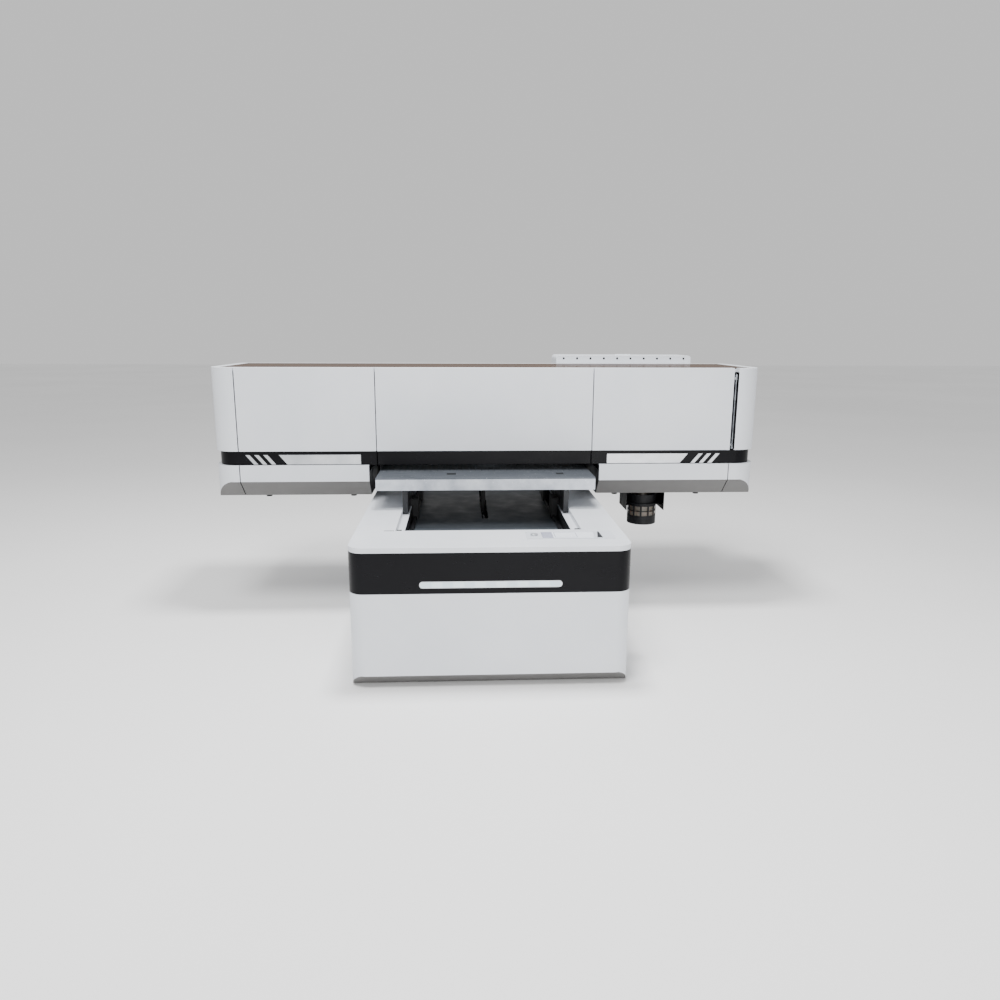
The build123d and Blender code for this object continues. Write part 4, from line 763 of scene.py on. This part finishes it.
beam_silver = brushed_aluminium("extruded_aluminium_anodised", "B9BDC2", "A2A6AB")
finished("bridge_beam", beam_silver, 0.002)
belt_rubber = moulded_black("moulded_rubber", "1A1A1A", 0.7, 0.003)
finished("drive_belt", belt_rubber, 0.0003)
for node in ("drive_pulley", "idler_pulley"):
    finished(node, beam_silver, 0.0003)

RAIL_SIZE, RAIL_APART = 0.015, 0.055
BOLTS, BOLT_HEAD, BOLT_END, BOLT_PROUD = 39, 0.0085, 0.03, 0.0002
FORWARDS = (math.radians(90), 0, 0)
rails_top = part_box("guide_rails")[1].z
beam_low, beam_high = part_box("bridge_beam")
beam_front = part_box("drive_belt")[1].y + RAIL_SIZE
for number, z in enumerate((rails_top - RAIL_SIZE / 2, rails_top - RAIL_SIZE / 2 - RAIL_APART)):
    screws(f"beam_rail_bolts_{number}", (beam_low.x + BOLT_END, beam_front - RAIL_SIZE - BOLT_PROUD, z),
           (beam_high.x - BOLT_END, beam_front - RAIL_SIZE - BOLT_PROUD, z), BOLTS, FORWARDS,
           head=BOLT_HEAD)


# ---- Wings -------------------------------------------------------------------------------------
# Each wing is a floor tray with folded covers: a grey strip that slopes back underneath, a white
# strip, a black band set back with silver plates on it, and rounded columns at the outer ends.

finished("wing_trays", black_and_painted_shade, 0.0008)
finished("chamfer_panels", grey_coat, 0.0012)
finished("lower_panels", white_coat, 0.0018, 3)
finished("corner_columns", white_coat, 0.0018, 3)
finished("rear_cover", white_coat, 0.0015)
finished("trim_plates", trim_silver, 0.0004)
finished("top_frame", white_coat, 0.002, 3)
finished("rubber_bumpers", belt_rubber, 0.0015, 3)


# ---- Doors and their hinge rod -----------------------------------------------------------------
# Three folded steel doors. The right one turns on a polished rod that shows in an open slot beside
# it; the rod and the door's knuckles are coloured dark, painted shade of the slot. The middle one carries the
# black apron over the table.

DOOR_EDGE = 0.0026
finished("left_door", white_coat, DOOR_EDGE, 3)
# The rod's steel is coloured dark grey, painted shade for the open slot it shows in.
finished("hinge_rod", ground_steel("oiled_steel_rod", "55585D", 0.26), 0.0005)


def door_with_knuckles():
    """The right door's knuckles, which turn on the rod, are steel coloured near black, painted shade for the
    open slot they sit in.
    """
    piece = finished("right_door", white_coat, DOOR_EDGE, 3)
    piece.data.materials.append(ground_steel("oiled_steel_knuckles", "2C2E32", 0.35))
    knuckle_wall = 0.004
    rod_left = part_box("hinge_rod")[0].x
    for face in piece.data.polygons:
        if face.center.x > rod_left - knuckle_wall:
            face.material_index = 1


door_with_knuckles()


def door_and_apron():
    """The middle door is one piece for the frame and two finishes: the apron's faces are black."""
    piece = finished("centre_door", white_coat, DOOR_EDGE, 3)
    piece.data.materials.append(band_black_and_painted_shade)
    apron_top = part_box("band_panels")[1].z
    for face in piece.data.polygons:
        if face.center.z < apron_top - 0.0001:
            face.material_index = 1


door_and_apron()


# ---- Lid ---------------------------------------------------------------------------------------
# A sheet of amber tinted acrylic that blocks UV light, in a painted frame, hinged at the rear.

def tinted_acrylic(name):
    """Cast acrylic tinted amber: it lets light through with a warm brown cast and has a very smooth
    surface, with fine dust lying on it."""
    material, tree = start_material(name)
    dust = noise(tree, 0.008, 6.0)
    shader = add(tree, "ShaderNodeBsdfPrincipled",
                 {"IOR": 1.49, "Specular IOR Level": 0.0, "Transmission Weight": 0.3, "Coat Weight": 0.08,
                  "Coat Roughness": 0.08},
                 {"Base Color": between(tree, noise(tree, 0.5), linear("38210E"), linear("432A13")),
                  "Roughness": spread_over(tree, dust, 0.1, 0.25)})
    end_material(tree, shader)
    return material


finished("top_lid", tinted_acrylic("amber_cast_acrylic"), 0.0008)


# ---- Print carriage ----------------------------------------------------------------------------
# A machined plate on guide blocks; a lift plate with three print heads under a moulded cover, a UV
# lamp with cooling fins on each side, and a lift screw under its motor.

finished("carriage_plate", frame_paint, 0.001)
finished("lift_plate", beam_silver, 0.001)
head_steel = ground_steel("nickel_plated_head_bodies", "A8A6A0", 0.28)
finished("print_heads", head_steel, 0.001)
finished("head_cover", black_abs, 0.002, 3)
finished("uv_lamps", satin_enamel("black_anodised_aluminium", "1C1E22", "121316", 0.38), 0.0008)
low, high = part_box("lift_screw")
thread("lift_screw_thread", Vector(((low.x + high.x) / 2, (low.y + high.y) / 2, low.z)), Vector((0, 0, 1)),
       high.z - low.z, (high.x - low.x) / 2, 0.005, "lift_screw_shaft", ["lift_screw"], guide_steel)


# ---- Service station ---------------------------------------------------------------------------
# Under the parked heads: a sheet tray, a plate of rubber-lipped caps that rises, and a wiper.

finished("cap_station", frame_paint, 0.0008)
finished("cap_lift", black_abs, 0.0008)
finished("wiper", belt_rubber, 0.0008)


# ---- Ink box -----------------------------------------------------------------------------------
# A coated steel box behind the bridge with ten ink tanks and a hatch. Each tank's level shows in a
# small round window on the front, a black lens in a thin ring.

finished("ink_box", white_coat, 0.0015, 3)
finished("ink_box_lid", white_coat, 0.0012)


def natural_polyethylene(name, shade, low):
    """Blow moulded polyethylene, milky and slightly yellow, which shows the liquid behind it as a
    darker tone."""
    material, tree = start_material(name)
    shader = add(tree, "ShaderNodeBsdfPrincipled",
                 {"IOR": 1.52, "Subsurface Weight": 0.2, "Subsurface Scale": 0.004},
                 {"Base Color": between(tree, noise(tree, 0.04, 3.0), linear(low), linear(shade)),
                  "Roughness": spread_over(tree, noise(tree, 0.01), 0.35, 0.5)})
    end_material(tree, shader)
    return material


finished("ink_tanks", natural_polyethylene("blow_moulded_polyethylene", "CFCBBE", "B9B4A4"), 0.002, 3)


def window_row_tree():
    tree, given = open_tree("level_windows", {"Start": "Vector", "End": "Vector", "Count": "Int",
                                              "Diameter": "Float", "Proud": "Float", "Material": "Material"})
    radius = add(tree, "ShaderNodeMath", {1: 0.5}, {0: given["Diameter"]}, operation="MULTIPLY")
    lens = add(tree, "GeometryNodeMeshUVSphere", {"Segments": 20, "Rings": 10}, {"Radius": radius.outputs[0]})
    flat = add(tree, "GeometryNodeTransform", {"Scale": (0.86, 0.86, 0.35)},
               {"Geometry": lens.outputs["Mesh"]})
    circle = add(tree, "GeometryNodeCurvePrimitiveCircle", {"Resolution": 24}, {"Radius": radius.outputs[0]})
    section = add(tree, "GeometryNodeCurvePrimitiveCircle", {"Resolution": 8}, {"Radius": given["Proud"]})
    ring = add(tree, "GeometryNodeCurveToMesh", links={"Curve": circle.outputs["Curve"],
                                                       "Profile Curve": section.outputs["Curve"]})
    window = join(tree, flat.outputs["Geometry"], ring.outputs["Mesh"])
    line = add(tree, "GeometryNodeMeshLine", links={"Count": given["Count"], "Start Location": given["Start"],
                                                    "Offset": given["End"]}, mode="END_POINTS")
    spread = add(tree, "GeometryNodeInstanceOnPoints", {"Rotation": FORWARDS},
                 {"Points": line.outputs["Mesh"], "Instance": window})
    return close_tree(tree, spread.outputs["Instances"], given["Material"])


low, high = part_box("ink_box")
WINDOW_END, WINDOW_DROP, WINDOW_PROUD = 0.039, 0.0155, 0.0002
face_y, window_z = low.y - WINDOW_PROUD, high.z - WINDOW_DROP
piece = grow("ink_level_windows", window_row_tree(), start=(low.x + WINDOW_END, face_y, window_z),
             end=(high.x - WINDOW_END, face_y, window_z), count=10, diameter=0.0085, proud=0.0011,
             material=band_black_and_painted_shade)
settle(piece, "root")


# ---- Waste bottle ------------------------------------------------------------------------------
# A stained polyethylene bottle in a black moulded cage with two rows of windows, hung by its flange
# in a U of folded black sheet under the right wing.

bracket_black = satin_enamel("black_enamelled_folded_sheet", "0B0B0D", "08080A", 0.5, 0.15)
finished("bottle_bracket", bracket_black, 0.0008)
finished("bottle_cage", black_abs, 0.0006)
finished("waste_bottle", natural_polyethylene("stained_polyethylene_bottle", "6E655B", "4A443D"), 0.001)


# ---- Table -------------------------------------------------------------------------------------
# An aluminium vacuum table: a profile frame, a 6 mm brushed top sheet drilled on a grid with a
# plain strip in front, two sockets filled with black pads that are painted shade, black anodised runners and
# guide blocks below.

def table_aluminium(name, shade, low, metal=0.6):
    """Aluminium sheet in daily use: brushed along its width, with pale specks of cured ink 3 to 6 mm
    across. Its colour runs in bluish clouds between two tones, which are painted reflection."""
    material, tree = start_material(name)
    streaks = noise(tree, 0.0025, 5.0, (0.012, 1, 1), 0.7)
    painted_reflection_clouds = noise(tree, 0.11, 6.0, (1, 1, 1), 0.6)
    specks = noise(tree, 0.012, 2.0)
    base = between(tree, painted_reflection_clouds, linear(low), linear(shade))
    dots = add(tree, "ShaderNodeMapRange", {"From Min": 0.68, "From Max": 0.74, "To Min": 0.0, "To Max": 0.5},
               {"Value": specks})
    colour = add(tree, "ShaderNodeMix", data_type="RGBA")
    tree.links.new(dots.outputs["Result"], colour.inputs[0])
    tree.links.new(base, colour.inputs[6])
    colour.inputs[7].default_value = linear("E6E9EE")
    shader = add(tree, "ShaderNodeBsdfPrincipled", {"Metallic": metal}, {
        "Base Color": colour.outputs[2],
        "Roughness": spread_over(tree, streaks, 0.3, 0.55),
        "Normal": bumped(tree, streaks, 0.00004, 0.5)})
    end_material(tree, shader)
    return material


def perforated_sheet_tree():
    tree, given = open_tree("perforated_sheet", {
        "Middle": "Vector", "Underside": "Float", "Width": "Float", "Length": "Float", "Thickness": "Float",
        "Grid Middle": "Vector", "Grid Width": "Float", "Grid Length": "Float",
        "Columns": "Int", "Rows": "Int", "Hole": "Float",
        "Left Recess": "Vector", "Right Recess": "Vector", "Left Width": "Float", "Right Width": "Float",
        "Recess Length": "Float", "Material": "Material"})
    sheet = add(tree, "GeometryNodeCurvePrimitiveQuadrilateral", links={"Width": given["Width"],
                                                                       "Height": given["Length"]})
    placed = add(tree, "GeometryNodeTransform", links={"Geometry": sheet.outputs["Curve"],
                                                       "Translation": given["Middle"]})
    grid = add(tree, "GeometryNodeMeshGrid", links={
        "Size X": given["Grid Width"], "Size Y": given["Grid Length"],
        "Vertices X": given["Columns"], "Vertices Y": given["Rows"]})
    placed_grid = add(tree, "GeometryNodeTransform", links={"Geometry": grid.outputs["Mesh"],
                                                            "Translation": given["Grid Middle"]})
    radius = add(tree, "ShaderNodeMath", {1: 0.5}, {0: given["Hole"]}, operation="MULTIPLY")
    circle = add(tree, "GeometryNodeCurvePrimitiveCircle", {"Resolution": 14}, {"Radius": radius.outputs[0]})
    holes = add(tree, "GeometryNodeInstanceOnPoints", links={"Points": placed_grid.outputs["Geometry"],
                                                             "Instance": circle.outputs["Curve"]})
    real_holes = add(tree, "GeometryNodeRealizeInstances", links={"Geometry": holes.outputs["Instances"]})
    outlines = [placed.outputs["Geometry"], real_holes.outputs["Geometry"]]
    for side in ("Left", "Right"):
        slot = add(tree, "GeometryNodeCurvePrimitiveQuadrilateral", links={"Width": given[side + " Width"],
                                                                          "Height": given["Recess Length"]})
        rounded = add(tree, "GeometryNodeFilletCurve", {"Radius": 0.004, "Limit Radius": True},
                      {"Curve": slot.outputs["Curve"]}, mode="POLY")
        rounded.inputs["Count"].default_value = 4
        moved = add(tree, "GeometryNodeTransform", links={"Geometry": rounded.outputs["Curve"],
                                                          "Translation": given[side + " Recess"]})
        outlines.append(moved.outputs["Geometry"])
    filled = add(tree, "GeometryNodeFillCurve", links={"Curve": join(tree, *outlines)}, mode="TRIANGLES")
    lift = add(tree, "ShaderNodeCombineXYZ", links={"Z": given["Thickness"]})
    raised = add(tree, "GeometryNodeExtrudeMesh", {"Individual": False},
                 {"Mesh": filled.outputs["Mesh"], "Offset": lift.outputs[0]}, mode="FACES")
    below = add(tree, "GeometryNodeFlipFaces", links={"Mesh": filled.outputs["Mesh"]})
    merged = add(tree, "GeometryNodeMergeByDistance", {"Distance": 0.00001},
                 {"Geometry": join(tree, raised.outputs["Mesh"], below.outputs["Mesh"])})
    rise = add(tree, "ShaderNodeCombineXYZ", links={"Z": given["Underside"]})
    lifted = add(tree, "GeometryNodeTransform", links={"Geometry": merged.outputs["Geometry"],
                                                       "Translation": rise.outputs[0]})
    return close_tree(tree, lifted.outputs["Geometry"], given["Material"])


# One aluminium in two tones: the dark top sheet is painted shade, the bright profile frame painted light.
bed_metal_painted_shade = table_aluminium("brushed_aluminium_bed", "63686F", "565B62")
profile_metal_painted_light = table_aluminium("brushed_aluminium_profile", "D2D6DC", "A4AAB4", 0.4)
low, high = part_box("vacuum_plate")
HOLE_PITCH = 0.029
SIDE_STRIP = 0.024
FRONT_STRIP = 0.180
REAR_STRIP = 0.030
columns = int((high.x - low.x - 2 * SIDE_STRIP) / HOLE_PITCH) + 1
rows = int((high.y - low.y - FRONT_STRIP - REAR_STRIP) / HOLE_PITCH) + 1
LEFT_SOCKET, RIGHT_SOCKET, SOCKET_LENGTH = 0.041, 0.034, 0.045
SOCKET_SETBACK, LEFT_INSET, RIGHT_INSET, PAD_DEPTH = 0.082, 0.327, 0.145, 0.0015
recess_y = low.y + SOCKET_SETBACK + SOCKET_LENGTH / 2
left_socket = low.x + LEFT_INSET
right_socket = high.x - RIGHT_INSET
piece = grow("drilled_top_sheet", perforated_sheet_tree(), smooth=25,
             middle=((low.x + high.x) / 2, (low.y + high.y) / 2, 0), underside=low.z, width=high.x - low.x,
             length=high.y - low.y, thickness=high.z - low.z,
             grid_middle=((low.x + high.x) / 2, low.y + FRONT_STRIP + (rows - 1) * HOLE_PITCH / 2, 0),
             grid_width=(columns - 1) * HOLE_PITCH, grid_length=(rows - 1) * HOLE_PITCH, columns=columns,
             rows=rows, hole=0.0075, left_recess=(left_socket, recess_y, 0),
             right_recess=(right_socket, recess_y, 0), left_width=LEFT_SOCKET, right_width=RIGHT_SOCKET,
             recess_length=SOCKET_LENGTH, material=bed_metal_painted_shade)
settle(piece, "table", ["vacuum_plate"])
# A black pad fills each socket to 1.5 mm below the top: painted shade for the dark inside of the socket.
for name, middle, width in (("table_socket_left", left_socket, LEFT_SOCKET),
                            ("table_socket_right", right_socket, RIGHT_SOCKET)):
    painted_shade_pad = slab_mesh(name, corners(middle - width / 2, middle + width / 2, recess_y - SOCKET_LENGTH / 2,
                                  recess_y + SOCKET_LENGTH / 2), low.z, high.z - PAD_DEPTH)
    settle(new_piece(name, painted_shade_pad, black_and_painted_shade), "table")
finished("table_frame", profile_metal_painted_light, 0.0012, 3)
runner_black = satin_enamel("black_anodised_runners", "1F2125", "17181B", 0.35)
finished("table_runners", runner_black, 0.002, 3)
finished("table_bearings", black_and_painted_shade, 0.001)
finished("vacuum_blowers", black_abs, 0.002)


# ---- Studio ------------------------------------------------------------------------------------
# A plain pale floor, three soft lights above and in front, and a camera 1.31 m up.

def studio_floor():
    material, tree = start_material("pale_floor")
    shader = add(tree, "ShaderNodeBsdfPrincipled", {"Roughness": 0.9},
                 {"Base Color": between(tree, noise(tree, 3.0), linear("F2F2F2"), linear("F8F8F8"))})
    end_material(tree, shader)
    mesh = bpy.data.meshes.new("floor")
    reach = 30
    mesh.from_pydata([(x, y, 0) for x, y in corners(-reach, reach, -reach, reach)], [], [(0, 1, 2, 3)])
    floor = new_piece("floor", mesh, material)
    floor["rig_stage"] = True


def soft_light(name, place, size, power, target=(0, 0, 0.7)):
    lamp = bpy.data.lights.new(name, "AREA")
    lamp.energy = power
    lamp.size = size
    holder = bpy.data.objects.new(name, lamp)
    holder.location = place
    holder.rotation_euler = (Vector(target) - Vector(place)).to_track_quat("-Z", "Y").to_euler()
    bpy.context.scene.collection.objects.link(holder)


studio_floor()
soft_light("key_light", (-1.2, -2.6, 5.4), 1.8, 240)
soft_light("fill_light", (1.2, -5.6, 1.7), 3.0, 150)
soft_light("top_light", (0.0, -0.35, 4.2), 0.7, 165, (0, -0.35, 0))
world = bpy.data.worlds.new("studio")
world.use_nodes = True
world.node_tree.nodes["Background"].inputs["Color"].default_value = (1, 1, 1, 1)
world.node_tree.nodes["Background"].inputs["Strength"].default_value = 0.75
bpy.context.scene.world = world

lens = bpy.data.cameras.new("camera")
lens.sensor_width = 36.0
lens.lens = 27.3
camera = bpy.data.objects.new("camera", lens)
right = Vector((0.99885, -0.04787, 0.00371))
up = Vector((0.00659, 0.21337, 0.97696))
back = -Vector((0.04756, 0.97580, -0.21344))
camera_turn = Matrix((right, up, back)).transposed().to_4x4()
camera.matrix_world = Matrix.Translation((-0.0977, -3.4713, 1.3063)) @ camera_turn
bpy.context.scene.collection.objects.link(camera)
bpy.context.scene.camera = camera

low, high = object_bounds()
